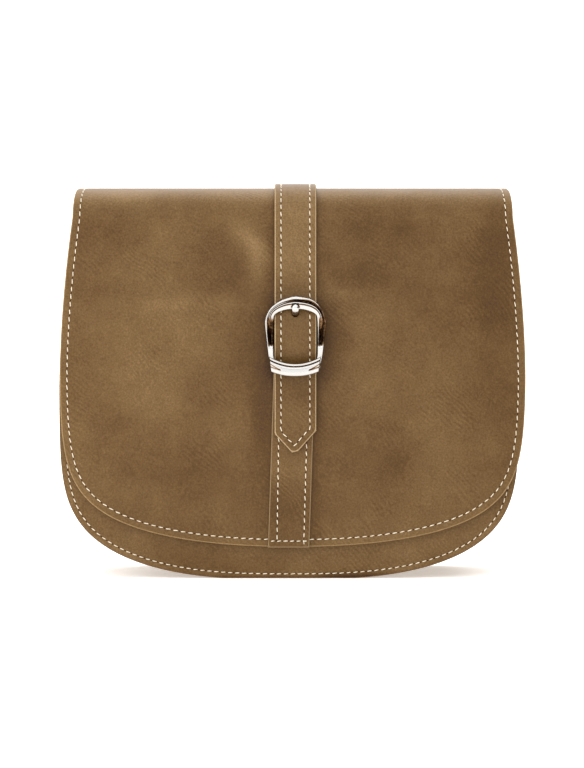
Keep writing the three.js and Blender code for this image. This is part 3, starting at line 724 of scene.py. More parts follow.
# Patches of painted light and shade where the folds and the flap's curve catch or lose the light, with
# some of the hide's own tone: across and up from the hem's middle, the half width and half height of the
# soft patch in millimetres, its turn in degrees and how far its colour goes.
FLAP_TONE_AND_SHADING = [
    (-22, 157, 13, 6.5, -48, 0.2),
    (-19, 142, 5, 12, 0, 0.1),
    (-42, 151, 24, 13, 0, -0.08),
    (-34, 137, 22, 7, 0, -0.07),
    (-66, 152, 14, 11, 0, 0.03),
    (-54, 125, 38, 4, 0, 0.04),
    (24, 130, 22, 4, 4, 0.06),
    (19, 158, 10, 8, 0, 0.04),
    (37, 139, 18, 11, 0, -0.08),
    (50, 162, 30, 9, 0, -0.05),
    (71, 154, 12, 15, 30, 0.03),
    (83, 150, 15, 9, 0, -0.06),
    (104, 137, 13, 34, 0, -0.15),
    (60, 92, 34, 26, 0, 0.05),
    (20, 104, 9, 26, 0, -0.1),
    (-16, 68, 6, 20, 0, -0.14),
    (-25, 103, 12, 28, 0, -0.06),
    (-78, 74, 22, 14, 25, 0.04),
    (-91, 64, 10, 9, 0, -0.06),
    (-109, 40, 9, 28, 0, 0.05),
    (-68, 38, 30, 13, 0, -0.04),
    (54, 44, 8, 8, 0, -0.06),
    (-60, 112, 34, 16, 0, 0.03),
    (84, 40, 22, 12, 30, 0.03),
    (0, 172, 130, 9, 0, -0.02),
]


def soft_bend(corners, count):
    """A smooth bend from the first corner to the last that leans towards those between them."""
    part, order = np.linspace(0, 1, count)[:, None], len(corners) - 1
    return sum(
        math.comb(order, i) * (1 - part) ** (order - i) * part ** i * corner
        for i, corner in enumerate(np.array(corners))
    )


def flap_front_at(height):
    return np.array([-(seam_half(height) + PANEL_LEATHER + FLAP_EASE), height])


def flap_back_at(height):
    return np.array([seam_half(height) + PANEL_LEATHER + SEAT, height])


front_corner = flap_front_at(FLAP_INSIDE_TOP)
back_corner = flap_back_at(FLAP_INSIDE_TOP)
front_fold = soft_bend(
    [flap_front_at(BODY_HEIGHT), front_corner, front_corner + (FOLD_REACH, 0)], 60,
)
back_fold = soft_bend(
    [back_corner - (FOLD_REACH, 0), back_corner, flap_back_at(BODY_HEIGHT)], 60,
)
flap_line = np.vstack([
    [flap_front_at(FLAP_HEM)], front_fold, back_fold, [flap_back_at(BODY_HEIGHT - REAR_LAP)],
])
flap_walk = walk_along(flap_line)
FRONT_END, FOLD_END, TOP_END, REAR_FOLD_END, FLAP_LENGTH = flap_walk[
    [1, len(front_fold), len(front_fold) + 1, -2, -1]
]
FRONT_SLOPE = FRONT_END / (BODY_HEIGHT - FLAP_HEM)


def along_front(height):
    """How far up the flap from its hem a height on the hanging part lies."""
    return (height - FLAP_HEM) * FRONT_SLOPE


def front_height(along):
    return FLAP_HEM + along / FRONT_SLOPE


def spot_reach(dx, dz, wide, tall, degrees):
    """Squared distance from the middle of a turned oval spot, which is 1 on its border."""
    turn = math.radians(degrees)
    u = (dx * math.cos(turn) + dz * math.sin(turn)) / wide
    v = (dz * math.cos(turn) - dx * math.sin(turn)) / tall
    return u * u + v * v


def fold_rise(x, height):
    """Soft folds and dents in the hanging part, at x from the body's middle."""
    rise = np.zeros(np.broadcast(x, height).shape)
    for across, up, *spot, amount in FLAP_FOLDS:
        dx = (x - FLAP_SHIFT) / FLAP_HALF - across
        dz = (height - up * BAG_TOP) / FLAP_HALF
        rise += amount * FLAP_EASE * np.exp(-spot_reach(dx, dz, *spot) / 2)
    return rise


def off_flap(x, along, out):
    """The point that lies out from the flap's inner face, at x from the body's middle and at a
    distance along the flap from its hem."""
    x, along, out = np.broadcast_arrays(x, along, out)
    depth, height = points_at(along, flap_walk, flap_line).T
    low = np.clip(along - FLAP_PROBE, 0, FLAP_LENGTH - 2 * FLAP_PROBE)
    run = run_between(low, low + 2 * FLAP_PROBE, flap_walk, flap_line)
    before = np.minimum(along, 0)
    depth, height = depth + run[:, 0] * before, height + run[:, 1] * before
    on_front = 1 - smooth(along, FRONT_END, FOLD_END)
    on_back = smooth(along, TOP_END, REAR_FOLD_END)
    lift = (
        on_front * (crown_at(FRONT_CROWN, x, height) + fold_rise(x, height))
        + on_back * crown_at(BACK_CROWN, x, height)
        + out
    )
    return np.column_stack([
        mid_x + x, mid_y + depth - run[:, 1] * lift, height + run[:, 0] * lift,
    ])


def flap_half(along):
    """Half width of the flap at a distance along it from its hem."""
    up_front = np.minimum(along, FRONT_END)
    low = outline_half(FLAP_HALF, up_front, FLAP_ROLL, FLAP_SWELL, FLAP_SQUARE)
    half = low - narrowing(FLAP_HEM + up_front, FLAP_INSIDE_TOP)
    tuck = MOUTH_NARROWING - narrowing(FLAP_HEM + FRONT_END, FLAP_INSIDE_TOP)
    return half - tuck * smooth(along, FRONT_END, FOLD_END)


def flap_tone_and_shading(x, along):
    """The charted patches of tone and painted light and shade, a painted sheen along the top fold, and
    painted shade beside the strap and the buckle, more on their left."""
    x = x - FLAP_SHIFT
    tone_and_shading = np.zeros(len(x))
    for across, up, *spot, amount in FLAP_TONE_AND_SHADING:
        tone_and_shading += amount * np.exp(-spot_reach(x - across, along / FRONT_SLOPE - up, *spot))
    level = np.interp(along, flap_walk, flap_line[:, 1])
    # A painted sheen along the top fold.
    rubbed = 0.15 * smooth(level, 188.5, 196.5) + 0.035 * smooth(level, 178, 188)
    tone_and_shading += rubbed * (1 - 0.7 * smooth(along, FOLD_END - 4, TOP_END))
    aside = np.abs(x - STRAP_ASIDE)
    above = np.abs(front_height(along) - SHADED_HEIGHT)
    by_buckle = np.hypot(*(
        np.maximum(offset - half, 0) for offset, half in zip((aside, above), SHADED_HALF)
    ))
    by_strap = np.maximum(aside - STRAP_WIDTH / 2, 0)
    # Painted shade beside the buckle and along the strap's edges.
    strap_painted_shade = 0.13 * np.exp(-(by_buckle / 6.5) ** 2)
    strap_painted_shade += 0.15 * np.exp(-by_strap / 2.4) * (along < FOLD_END)
    return tone_and_shading - strap_painted_shade * np.where(x < STRAP_ASIDE, 1, 0.6)


flap_along = FLAP_LENGTH * np.linspace(0, 1, 900) ** 2.4
flap_right = np.column_stack([FLAP_SHIFT + flap_half(flap_along), flap_along])
flap_left = np.column_stack([FLAP_SHIFT - flap_half(flap_along), flap_along])[::-1]
flap_loop = even_points([
    flap_right, np.array([flap_right[-1], flap_left[0]]), flap_left,
], FLAP_EDGE_STEP)
flap_seam = inset_line(flap_loop, FLAP_MARGIN)
flap_sheet = cut_sheet(flap_loop, FLAP_GRID, [flap_seam])
cut_edge = fibrous_leather("rubbed_cut_edge", "6B502D", "9C8259", 0.7, 0.7)
flap = leather_piece(
    "flap_leather", flap_sheet, off_flap, FLAP_LEATHER, [body_leather, flesh_side, cut_edge],
    flap_tone_and_shading, FLAP_MARGIN,
)
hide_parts("flap")

# The closure strap is 2 mm strap leather with a little more wax than the body. It is sewn to
# the flap at the back, runs over the top and through the buckle, and ends in a blunt point.
STRAP_LEATHER = 2
STRAP_MIDDLE = FLAP_SHIFT + STRAP_ASIDE
STRAP_REAR_MARGIN = 8
STRAP_MARGIN = 3.3
STRAP_EDGE_STEP = 1.1
CLOSURE_GRID = 1.5
# The point's corners, across the strap and over the floor.
TIP_CORNERS = [(-STRAP_WIDTH / 2, 75), (-1.8, 65.4), (1.4, 66.1), (STRAP_WIDTH / 2, 76.6)]
BASE_STRAP_LEATHER = 1.2
BAR_HEIGHT = 122
BAR_RADIUS = 0.9
BAR_PLAY = 0.25
CLIMB_FROM = 26
CREST_FROM = 4
CREST_TO = 2
DROP_TO = 14
BAR_OUT = SEAT + BASE_STRAP_LEATHER + BAR_PLAY + BAR_RADIUS
STRAP_AT_BAR = BAR_OUT + BAR_RADIUS + BAR_PLAY + BASE_STRAP_LEATHER + SEAT
STRAP_ON_BASE = SEAT + BASE_STRAP_LEATHER + SEAT
SLOT_FOOT = 134.8
SLOT_HEAD = 139.6
SLOT_HALF = 1.9


def off_front(x, height, out):
    """The point that lies out from the flap's outer face at a height on the front."""
    return off_flap(x, along_front(height), FLAP_LEATHER + out)


def strap_lift(height):
    """How far the closure strap's inner face lies off the flap at a height on the front."""
    over = height - BAR_HEIGHT
    low = np.where(over > 0, SEAT, STRAP_ON_BASE)
    climb = 1 - smooth(over, CREST_FROM, CLIMB_FROM)
    return low + (STRAP_AT_BAR - low) * climb * (1 - smooth(-over, CREST_TO, DROP_TO))


def place_closure(x, along, out):
    lift = np.where(along < FRONT_END, strap_lift(front_height(along)), SEAT)
    return off_flap(STRAP_MIDDLE + x, along, FLAP_LEATHER + lift + out)


def closure_tone_and_highlight(x, along):
    """Paler above the buckle and near the point, with a painted highlight in the middle of the buckle's
    window, where the strap bulges over the bar."""
    height = front_height(along)
    tone_and_shading = 0.13 * smooth(height, 146, 164) * (1 - smooth(along, TOP_END, REAR_FOLD_END))
    # A painted highlight on the strap's hump in the buckle's window.
    tone_and_shading += 0.04 * np.exp(-((height - 124) / 8) ** 2 - (x / 5.5) ** 2)
    return tone_and_shading + 0.05 * np.exp(-((height - 80) / 8) ** 2) - 0.03 * np.exp(-((height - 96) / 6) ** 2)


def strap_loop(corners):
    """A strap's outline through its corners."""
    corners = np.array(corners)
    return even_points(np.stack([corners, np.roll(corners, -1, axis=0)], 1), STRAP_EDGE_STEP)


def upright_slot(half, foot, head):
    """A slot with round ends, turning right."""
    turns = np.radians(np.arange(0, 180, 15))
    top = np.column_stack([-half * np.cos(turns), head - half + half * np.sin(turns)])
    bottom = np.column_stack([half * np.cos(turns), foot + half - half * np.sin(turns)])
    return np.vstack([top, bottom])


strap_leather = waxed_leather("waxed_strap_leather", TAN, 0.46, (0.2, 0.16, 0.42, 0.08))
raw_edge = fibrous_leather("raw_strap_edge", "846C4A", "B49C78", 0.7, 0.75)

strap_rear = FLAP_LENGTH - STRAP_REAR_MARGIN
closure_loop = strap_loop([
    *((x, along_front(height)) for x, height in TIP_CORNERS),
    (STRAP_WIDTH / 2, strap_rear), (-STRAP_WIDTH / 2, strap_rear),
])
prong_slot = upright_slot(SLOT_HALF, along_front(SLOT_FOOT), along_front(SLOT_HEAD))
closure_seam = inset_line(closure_loop, STRAP_MARGIN)
closure_sheet = cut_sheet(closure_loop, CLOSURE_GRID, [closure_seam], [prong_slot])
closure_strap = leather_piece(
    "closure_strap_leather", closure_sheet, place_closure, STRAP_LEATHER,
    [strap_leather, flesh_side, raw_edge], closure_tone_and_highlight,
)
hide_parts("closure_strap")

# The base strap is the same leather split thin. Its upper end is folded round the buckle's
# bar, and it is sewn down the flap to the hem, leaning a little as handwork does.
BASE_STRAP_SLANT = 0.033
BASE_STRAP_TAIL = 8
# Each seam's distance from the strap's middle, at the buckle and at the hem, and where it ends.
BASE_SEAMS = [(-7.6, -6.1, 3.5), (7.3, 7.7, 0.8)]
HEM_MARGIN = 3.4
BASE_GRID = 1.1
BASE_PROBE = 0.2
PRONG_WIDTH = 3.2
PRONG_EYE_WALL = 1
PRONG_EYE_RADIUS = BAR_RADIUS + BAR_PLAY + PRONG_EYE_WALL

fold_radius = BAR_RADIUS + BAR_PLAY + BASE_STRAP_LEATHER / 2
flat_out = SEAT + BASE_STRAP_LEATHER / 2
fold_turns = np.radians(np.linspace(-90, 90, 40))
fold_arc = np.column_stack([
    BAR_HEIGHT + fold_radius * np.cos(fold_turns), BAR_OUT + fold_radius * np.sin(fold_turns),
])
drop = soft_bend([
    (BAR_HEIGHT, BAR_OUT + fold_radius),
    (BAR_HEIGHT - DROP_TO / 2, BAR_OUT + fold_radius),
    (BAR_HEIGHT - DROP_TO / 2, flat_out),
    (BAR_HEIGHT - DROP_TO, flat_out),
], 40)
base_line = np.vstack([
    [(BAR_HEIGHT - BASE_STRAP_TAIL, flat_out)], fold_arc, drop[1:],
    [(FLAP_HEM - SEAT, flat_out)],
])
base_walk = walk_along(base_line)
BASE_LENGTH = base_walk[-1]


def place_base(x, along, out):
    at = points_at(along, base_walk, base_line)
    run = run_between(along - BASE_PROBE, along + BASE_PROBE, base_walk, base_line)
    offset = out - BASE_STRAP_LEATHER / 2
    height = at[:, 0] + run[:, 1] * offset
    middle = STRAP_MIDDLE - BASE_STRAP_SLANT * (BAR_HEIGHT - height)
    return off_front(middle + x, height, at[:, 1] - run[:, 0] * offset)


base_loop = strap_loop([
    (-STRAP_WIDTH / 2, 0), (STRAP_WIDTH / 2, 0),
    (STRAP_WIDTH / 2, BASE_LENGTH), (-STRAP_WIDTH / 2, BASE_LENGTH),
])
slot_reach = PRONG_EYE_RADIUS + BASE_STRAP_LEATHER + 0.4
fold_slot = upright_slot(
    PRONG_WIDTH / 2 + 0.4, BASE_STRAP_TAIL - slot_reach,
    BASE_STRAP_TAIL + math.pi * fold_radius + slot_reach,
)
base_start = BASE_STRAP_TAIL + math.pi * fold_radius + 10
base_seams = [
    np.column_stack([np.linspace(*ends, 80), np.linspace(base_start, BASE_LENGTH - stop, 80)])
    for *ends, stop in BASE_SEAMS
]
base_hem = np.column_stack([np.linspace(-10, 10, 20), np.full(20, BASE_LENGTH - HEM_MARGIN)])
base_sheet = cut_sheet(base_loop, BASE_GRID, [*base_seams, base_hem[2:-2]], [fold_slot])


def base_strap_tone(x, along):
    """Paler a little below the closure strap's point, darker lower down."""
    up = BASE_LENGTH - along
    return 0.09 * np.exp(-((up - 41) / 7) ** 2) - 0.07 * np.exp(-((up - 18) / 9) ** 2)


waxed_edge = fibrous_leather("waxed_strap_edge", "6A5539", "8C7554", 0.7, 0.7)
base_strap = leather_piece(
    "base_strap_leather", base_sheet, place_base, BASE_STRAP_LEATHER,
    [strap_leather, flesh_side, waxed_edge], base_strap_tone,
)
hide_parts("base_strap")

# The buckle's frame is one zinc casting, polished and plated with pale nickel: an arch with a
# beaded rim and a bevel, two side bars, and a broad crescent band with a rim along its top.
SIDE_WIDTH = 4.4
WINDOW_PLAY = 0.6
PRONG_TIP_WIDTH = 3.6
TIP_HIGH = 141.2
BUCKLE_ABOVE_BAR = 23.4
BUCKLE_BELOW_BAR = 18
BUCKLE_THICKNESS = 2.5
WINDOW_HALF = STRAP_WIDTH / 2 + WINDOW_PLAY
FRAME_HALF = WINDOW_HALF + SIDE_WIDTH
BUCKLE_HEIGHT = BUCKLE_ABOVE_BAR + BUCKLE_BELOW_BAR
BUCKLE_FOOT = BAR_HEIGHT - BUCKLE_BELOW_BAR
SECTION_STEPS = 26  # points of the smooth frame between two sections, and two profile points
PROFILE_STEPS = 3
PLATE_RIPPLE = 4  # the polishing wheel leaves soft waves about this long
# From the arch's top to the band's middle: outer x and z and inner x and z, as shares of the
# half widths and the height, then how far back it stands and how thick it is, also as shares.
FRAME_SECTIONS = np.array([
    (0, 1, 0, 0.845, 1, 1),
    (0.27, 0.979, 0.31, 0.841, 1, 1),
    (0.51, 0.943, 0.62, 0.822, 1, 1),
    (0.73, 0.887, 0.85, 0.794, 1, 1),
    (0.89, 0.815, 0.965, 0.762, 0.95, 1.05),
    (0.985, 0.727, 1, 0.71, 0.85, 1.15),
    (1, 0.64, 1, 0.633, 0.7, 1.35),
    (0.965, 0.5, 1, 0.495, 0.35, 2.05),
    (0.925, 0.385, 1, 0.38, 0.35, 2.6),
    (0.885, 0.285, 1, 0.272, 0.9, 1.08),
    (0.83, 0.19, 0.92, 0.2, 1.08, 0.6),
    (0.77, 0.1, 0.72, 0.165, 1.2, 0.6),
    (0.58, 0.05, 0.49, 0.125, 1.2, 0.6),
    (0.29, 0.03, 0.24, 0.11, 1.2, 0.6),
    (0, 0.025, 0, 0.11, 1.2, 0.6),
])
# Across the frame, from its inner edge to its outer one, and up from its rear face.
REAR_POINTS = [(1, 0.12), (0.9, 0), (0.1, 0)]
ARCH_PROFILE = np.array([
    (0, 0.12), (0, 0.4), (0.03, 0.52), (0.2, 0.6), (0.36, 0.68), (0.4, 0.58), (0.44, 0.68),
    (0.49, 0.8), (0.54, 0.8), (0.585, 0.62), (0.63, 0.46), (0.68, 0.46), (0.73, 0.66),
    (0.77, 0.9), (0.83, 1), (0.9, 1), (0.96, 0.9), (1, 0.66), *REAR_POINTS,
])
# The side bars fall from a narrow outer bead to a thin rim along the window.
SIDE_PROFILE = np.array([
    (0, 0.12), (0, 0.36), (0.02, 0.46), (0.07, 0.5), (0.13, 0.5), (0.18, 0.43), (0.25, 0.43),
    (0.35, 0.48), (0.45, 0.54), (0.54, 0.62), (0.62, 0.74), (0.68, 0.85), (0.74, 0.94), (0.8, 0.99),
    (0.85, 1), (0.9, 0.98), (0.96, 0.88), (1, 0.66), *REAR_POINTS,
])
# Their lower ends, between the hidden bar and the band, are flat.
FOOT_PROFILE = np.array([
    (0, 0.12), (0, 0.55), (0.02, 0.78), (0.06, 0.86),
    *((across, 0.88) for across in (0.14, 0.25, 0.35, 0.42, 0.5, 0.58, 0.65, 0.71, 0.77, 0.82, 0.87)),
    (0.92, 0.86), (0.97, 0.8), (1, 0.66), *REAR_POINTS,
])
# The arch rests on the strap where its inner corner lies.
ARCH_BACK = float(strap_lift(BUCKLE_FOOT + 0.766 * BUCKLE_HEIGHT)) + STRAP_LEATHER + SEAT


def off_buckle(x, height, out):
    """A point of the buckle, which lies square to the flap's slope at its own middle."""
    x, height, out = np.broadcast_arrays(x, height, out)
    points = off_front(np.full(x.size, STRAP_MIDDLE), height.ravel(), out.ravel())
    points[:, 0] += x.ravel()
    return points.reshape(*x.shape, 3)


def smooth_line(points, steps, closed=False):
    """An even curve through the points, with so many steps between each two."""
    ends = (points[-1:], points[:2]) if closed else (
        2 * points[:1] - points[1:2], 2 * points[-1:] - points[-2:-1],
    )
    row = np.vstack([ends[0], points, ends[1]])
    part = np.arange(steps)[:, None] / steps
    curve = [
        0.5 * (2 * b + (c - a) * part + (2 * a - 5 * b + 4 * c - d) * part ** 2
               + (3 * b - a - 3 * c + d) * part ** 3)
        for a, b, c, d in (row[i:i + 4] for i in range(len(row) - 3))
    ]
    return np.vstack(curve if closed else [*curve, points[-1:]])


def ring_faces(count, corners, closed=False):
    """The faces between so many rings, each with so many corners."""
    i, j = np.meshgrid(np.arange(count if closed else count - 1), np.arange(corners), indexing="ij")
    here, there = i * corners, (i + 1) % count * corners
    after = (j + 1) % corners
    return np.stack([here + j, here + after, there + after, there + j], -1).reshape(-1, 4)


def loft(rings, closed):
    """Points and faces of a skin over a row of rings, closed in a loop or with flat ends."""
    count, corners = rings.shape[:2]
    faces = ring_faces(count, corners, closed).tolist()
    if not closed:
        faces.append(list(range(corners))[::-1])
        faces.append([(count - 1) * corners + k for k in range(corners)])
    points = rings.reshape(-1, 3)
    triangles = np.array([(f[0], f[k], f[k + 1]) for f in faces for k in range(1, len(f) - 1)])
    return points, faced_out(points, triangles, faces)


def join(skins):
    """Several skins as one list of points and one of faces."""
    points, faces, count = [], [], 0
    for skin_points, skin_faces in skins:
        points.append(skin_points)
        faces += [[count + k for k in face] for face in skin_faces]
        count += len(skin_points)
    return np.vstack(points), faces


nickel, tree = new_material("polished_nickel_plate")
where = add_node(tree, "ShaderNodeTexCoord").outputs["Object"]
ripple = add_node(
    tree, "ShaderNodeTexNoise", {"Scale": 1 / (PLATE_RIPPLE * MM), "Detail": 2},
    {"Vector": where},
)
haze = add_node(
    tree, "ShaderNodeMapRange",
    {"From Min": 0.3, "From Max": 0.7, "To Min": 0.1, "To Max": 0.2},
    {"Value": ripple.outputs["Fac"]},
)
waves = add_node(
    tree, "ShaderNodeBump", {"Strength": 0.15, "Distance": 0.15 * MM},
    {"Height": ripple.outputs["Fac"]},
)
# Painted reflection and shade: grooves, some slopes and hidden parts are painted brown to dark, as the
# leather's brown reflection and as shade, broken up by a soft noise.
painted_reflection_and_shade = add_node(tree, "ShaderNodeAttribute", {"attribute_name": "painted_reflection_and_shade"}).outputs["Fac"]
reflection_blotches = add_node(
    tree, "ShaderNodeTexNoise", {"Scale": 1 / (1.1 * MM), "Detail": 3}, {"Vector": where},
)
reflection_patchiness = add_node(
    tree, "ShaderNodeMapRange",
    {"From Min": 0.35, "From Max": 0.65, "To Min": 0.7, "To Max": 1.1},
    {"Value": reflection_blotches.outputs["Fac"]},
)
reflection_and_shade_mix = add_node(
    tree, "ShaderNodeMath", {"operation": "MULTIPLY"}, {0: painted_reflection_and_shade, 1: reflection_patchiness.outputs["Result"]},
)
colour = add_node(
    tree, "ShaderNodeValToRGB", links={"Fac": reflection_and_shade_mix.outputs[0]},
    stops=[(0.05, "BFBDBA"), (0.5, "7A5E40"), (0.95, "2A1A0E")],
)
plate = add_node(
    tree, "ShaderNodeBsdfPrincipled", {"Metallic": 1},
    {
        "Base Color": colour.outputs["Color"], "Roughness": haze.outputs["Result"],
        "Normal": waves.outputs["Normal"],
    },
)
add_node(tree, "ShaderNodeOutputMaterial", links={"Surface": plate.outputs["BSDF"]})

left_rows = FRAME_SECTIONS[-2:0:-1] * (-1, 1, -1, 1, 1, 1)
frame_rows = smooth_line(np.vstack([FRAME_SECTIONS, left_rows]), SECTION_STEPS, closed=True)
out_x, out_z, in_x, in_z, back, thick = (column[:, None] for column in frame_rows.T)
on_arch = smooth(out_z, 0.66, 0.8)
on_foot = 1 - smooth(out_z, 0.36, 0.46)
on_side = 1 - on_arch - on_foot
share, up = sum(
    part * smooth_line(profile, PROFILE_STEPS, closed=True).T[:, None]
    for part, profile in ((on_arch, ARCH_PROFILE), (on_side, SIDE_PROFILE), (on_foot, FOOT_PROFILE))
)
ring_x = in_x * WINDOW_HALF + (out_x * FRAME_HALF - in_x * WINDOW_HALF) * share
ring_z = (in_z + (out_z - in_z) * share) * BUCKLE_HEIGHT
# The casting is a little fuller at its right shoulder.
fuller = on_arch * share * np.exp(-((ring_x - 9) / 5) ** 2)
ring_x, ring_z = ring_x + 0.3 * fuller, ring_z + 0.85 * fuller
# A scalloped seat rises round the prong on the arch's bevel.
seat_rise = 0.16 * np.exp(-(ring_x / 3.2) ** 4) * np.exp(-((share - 0.42) / 0.13) ** 2)
seat_rise = seat_rise * (ring_z > 0.7 * BUCKLE_HEIGHT) * (up > 0.3)
ring_out = back * ARCH_BACK + (up + seat_rise) * thick * BUCKLE_THICKNESS
frame_ring = loft(off_buckle(ring_x, BUCKLE_FOOT + ring_z, ring_out), closed=True)


def band_of(value, middle, half):
    """1 within half of the middle, with soft borders."""
    return np.exp(-((value - middle) / half) ** 4)


# Painted reflection and shade: the arch's groove is painted widest on the right, the prong's seat is
# outlined in painted shade, and the side bars are painted dark inside their bead on the left and outside
# their rim on the right.
to_right = smooth(ring_x, -8, 9)
arch_painted_shade = 1.3 * band_of(share, 0.58 + 0.135 * to_right, 0.045 + 0.12 * to_right)
arch_painted_shade += 0.9 * band_of(share, 0.38, 0.032)
tip_gap = np.hypot(ring_x, np.maximum(ring_z - (TIP_HIGH - BUCKLE_FOOT - PRONG_TIP_WIDTH / 2), 0))
arch_painted_shade += band_of(tip_gap, PRONG_TIP_WIDTH / 2 + 0.25, 0.4) * (share > 0.1)
left_painted_shade = 1 - smooth(share, 0.68, 0.84) - 0.25 * band_of(share, 0.62, 0.12)
right_painted_shade = smooth(share, 0.12, 0.18) * (1 - 0.5 * smooth(share, 0.86, 0.94))
side_painted_shade = np.where(ring_x < 0, left_painted_shade, right_painted_shade - 0.2 * band_of(share, 0.5, 0.2))
ring_painted_shade = on_arch * arch_painted_shade + on_side * side_painted_shade + on_foot * 0.8 * band_of(share, 0, 0.03)
# The rear faces get a middling painted shade.
ring_painted_shade[:, PROFILE_STEPS * (len(ARCH_PROFILE) - len(REAR_POINTS)):] = 0.7

# The band: u runs along it, v from its lower edge to its upper one. Two cuts are engraved at
# each end of it, deeper on the right.
BAND_BACK = 7
BAND_THICK = 2.7
CUTS_FROM = 0.55
BAND_FACE = np.array([
    (0, 0.3), (0.004, 0.55), (0.03, 0.74), (0.08, 0.87), (0.18, 0.96), (0.35, 1), (0.55, 0.98),
    (0.68, 0.93), (0.72, 0.8), (0.755, 0.66), (0.79, 0.8), (0.82, 1), (0.87, 1.1),
    (0.92, 1.08), (0.97, 0.93), (0.995, 0.7), (1, 0.5), (1, 0.3),
])
u = np.sin(np.radians(np.linspace(-90, 90, 181)))[:, None]
face = smooth_line(BAND_FACE, 4)
rear = np.array([(0.95, 0), (0.6, 0), (0.4, 0), (0.05, 0)])
v, raised = np.vstack([face, rear]).T
cut_depth = np.where(u > 0, 0.5, 0.3)
opening = np.clip((np.abs(u) - CUTS_FROM) / (1 - CUTS_FROM), 0, 1)
cut_middle = 0.36 + 0.08 * opening
cuts = sum(
    np.exp(-((v - cut_middle - side * 0.1 * opening) / 0.042) ** 2) for side in (-1, 1)
) * smooth(opening, 0, 0.12)
front_side = (raised > 0.6) & (np.arange(len(v)) < len(face))
end_round = np.sqrt(1 - np.clip((np.abs(u) - 0.96) / 0.0401, 0, 1) ** 2)
band_out = BAND_BACK + BAND_THICK * raised * (0.45 + 0.55 * end_round)
band_out = band_out - cut_depth * cuts * front_side
band_low_x, band_top_x = -0.3 + 12.3 * u, -0.2 + 13.3 * u
band_low_z, band_top_z = 0.4 + 2.4 * np.abs(u) ** 2.2, 7 + 3.7 * u ** 2
band_x = band_low_x + (band_top_x - band_low_x) * v
band_z = band_low_z + (band_top_z - band_low_z) * v
frame_band = loft(off_buckle(band_x, BUCKLE_FOOT + band_z, band_out), closed=False)
# Painted shade in the groove under the band's rim and in the engraved cuts.
band_painted_shade = band_of(v, 0.755, 0.022) * (0.75 + 0.25 * u ** 2) + cuts * np.where(u > 0, 1, 0.8)
band_painted_shade = band_painted_shade * front_side

bar_turns = np.radians(np.arange(0, 360, 18))
bar_ends = np.linspace(-1, 1, 2)[:, None] * (WINDOW_HALF + 0.9)
frame_bar = loft(off_buckle(
    bar_ends + 0 * bar_turns,
    BAR_HEIGHT + BAR_RADIUS * np.cos(bar_turns) + 0 * bar_ends,
    BAR_OUT + BAR_RADIUS * np.sin(bar_turns) + 0 * bar_ends,
), closed=False)
# The bar is painted dark all over, as shade behind the strap.
frame_painted_shade = np.concatenate([ring_painted_shade.ravel(), band_painted_shade.ravel(), np.ones(len(frame_bar[0]))])
buckle_frame = new_piece(
    "buckle_frame_casting", *join([frame_ring, frame_band, frame_bar]), [nickel],
    values={"painted_reflection_and_shade": np.clip(frame_painted_shade, 0, 1)},
)
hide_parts("buckle_frame")

# The prong is nickel-plated wire, flattened and bent: its eye turns on the bar, and its arm
# comes up through the strap's slot and rests its rounded tip on the arch's seat.
PRONG_THICKNESS = 1.5
# The arm's heights over the floor, and its share of the way up from under the strap.
PRONG_ARM = np.array([
    (122.9, 0), (126, 0), (129, 0), (132, 0), (134.6, 0.02), (136, 0.3), (137, 0.7),
    (138.2, 0.96), (139.8, 1.05), (TIP_HIGH, 1.04),
])
under = strap_lift(PRONG_ARM[:, 0]) - SEAT - PRONG_THICKNESS / 2
on_top = ARCH_BACK + 0.72 * BUCKLE_THICKNESS + SEAT + PRONG_THICKNESS / 2
arm_out = np.where(PRONG_ARM[:, 1] > 0, under[4] + (on_top - under[4]) * PRONG_ARM[:, 1], under)
arm = smooth_line(np.column_stack([PRONG_ARM[:, 0], arm_out]), 6)
arm_walk = walk_along(arm)
arm_share = np.sort(np.concatenate([
    np.linspace(0, 0.9, 50), 0.9 + 0.1 * np.sin(np.radians(np.linspace(5, 90, 12))),
]))
arm_line = points_at(arm_share * arm_walk[-1], arm_walk, arm)
arm_run = np.gradient(arm_line, axis=0)
arm_run[-10:] = arm_run[-11]
arm_run /= np.hypot(*arm_run.T)[:, None]
tip_taper = np.sqrt(1 - np.clip((arm_share - 0.9) / 0.1, 0, 0.995) ** 2)[:, None]
arm_width = PRONG_WIDTH + (PRONG_TIP_WIDTH - PRONG_WIDTH) * smooth(arm_share, 0.7, 0.85)[:, None]
arm_turns = np.radians(np.arange(0, 360, 20))
arm_aside = np.cos(arm_turns) * arm_width * tip_taper / 2
arm_up = np.sin(arm_turns) * PRONG_THICKNESS * tip_taper / 2
prong_arm = loft(off_buckle(
    arm_aside, arm_line[:, :1] - arm_run[:, 1:] * arm_up, arm_line[:, 1:] + arm_run[:, :1] * arm_up,
), closed=False)
# Across the prong's eye, and out from the bar's middle.
eye_profile = np.array([
    (-1.6, 1.3), (-1.6, 2), (-1.45, 2.15), (1.45, 2.15), (1.6, 2), (1.6, 1.3), (1.45, 1.16),
    (-1.45, 1.16),
])
eye_turns = np.radians(np.arange(0, 360, 12))[:, None]
eye_x, eye_radius = eye_profile.T
prong_eye = loft(off_buckle(
    eye_x + 0 * eye_turns, BAR_HEIGHT + eye_radius * np.cos(eye_turns),
    BAR_OUT + eye_radius * np.sin(eye_turns),
), closed=True)
# The arm is painted dark below the strap's face, as shade in the slot, and so is the hidden eye.
arm_painted_shade = 1 - smooth(arm_line[:, :1] + 0 * arm_turns, 135.4, 136.6)
prong_painted_shade = np.concatenate([arm_painted_shade.ravel(), np.ones(len(prong_eye[0]))])
buckle_prong = new_piece(
    "buckle_prong_wire", *join([prong_arm, prong_eye]), [nickel], values={"painted_reflection_and_shade": prong_painted_shade},
)
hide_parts("buckle_prong")

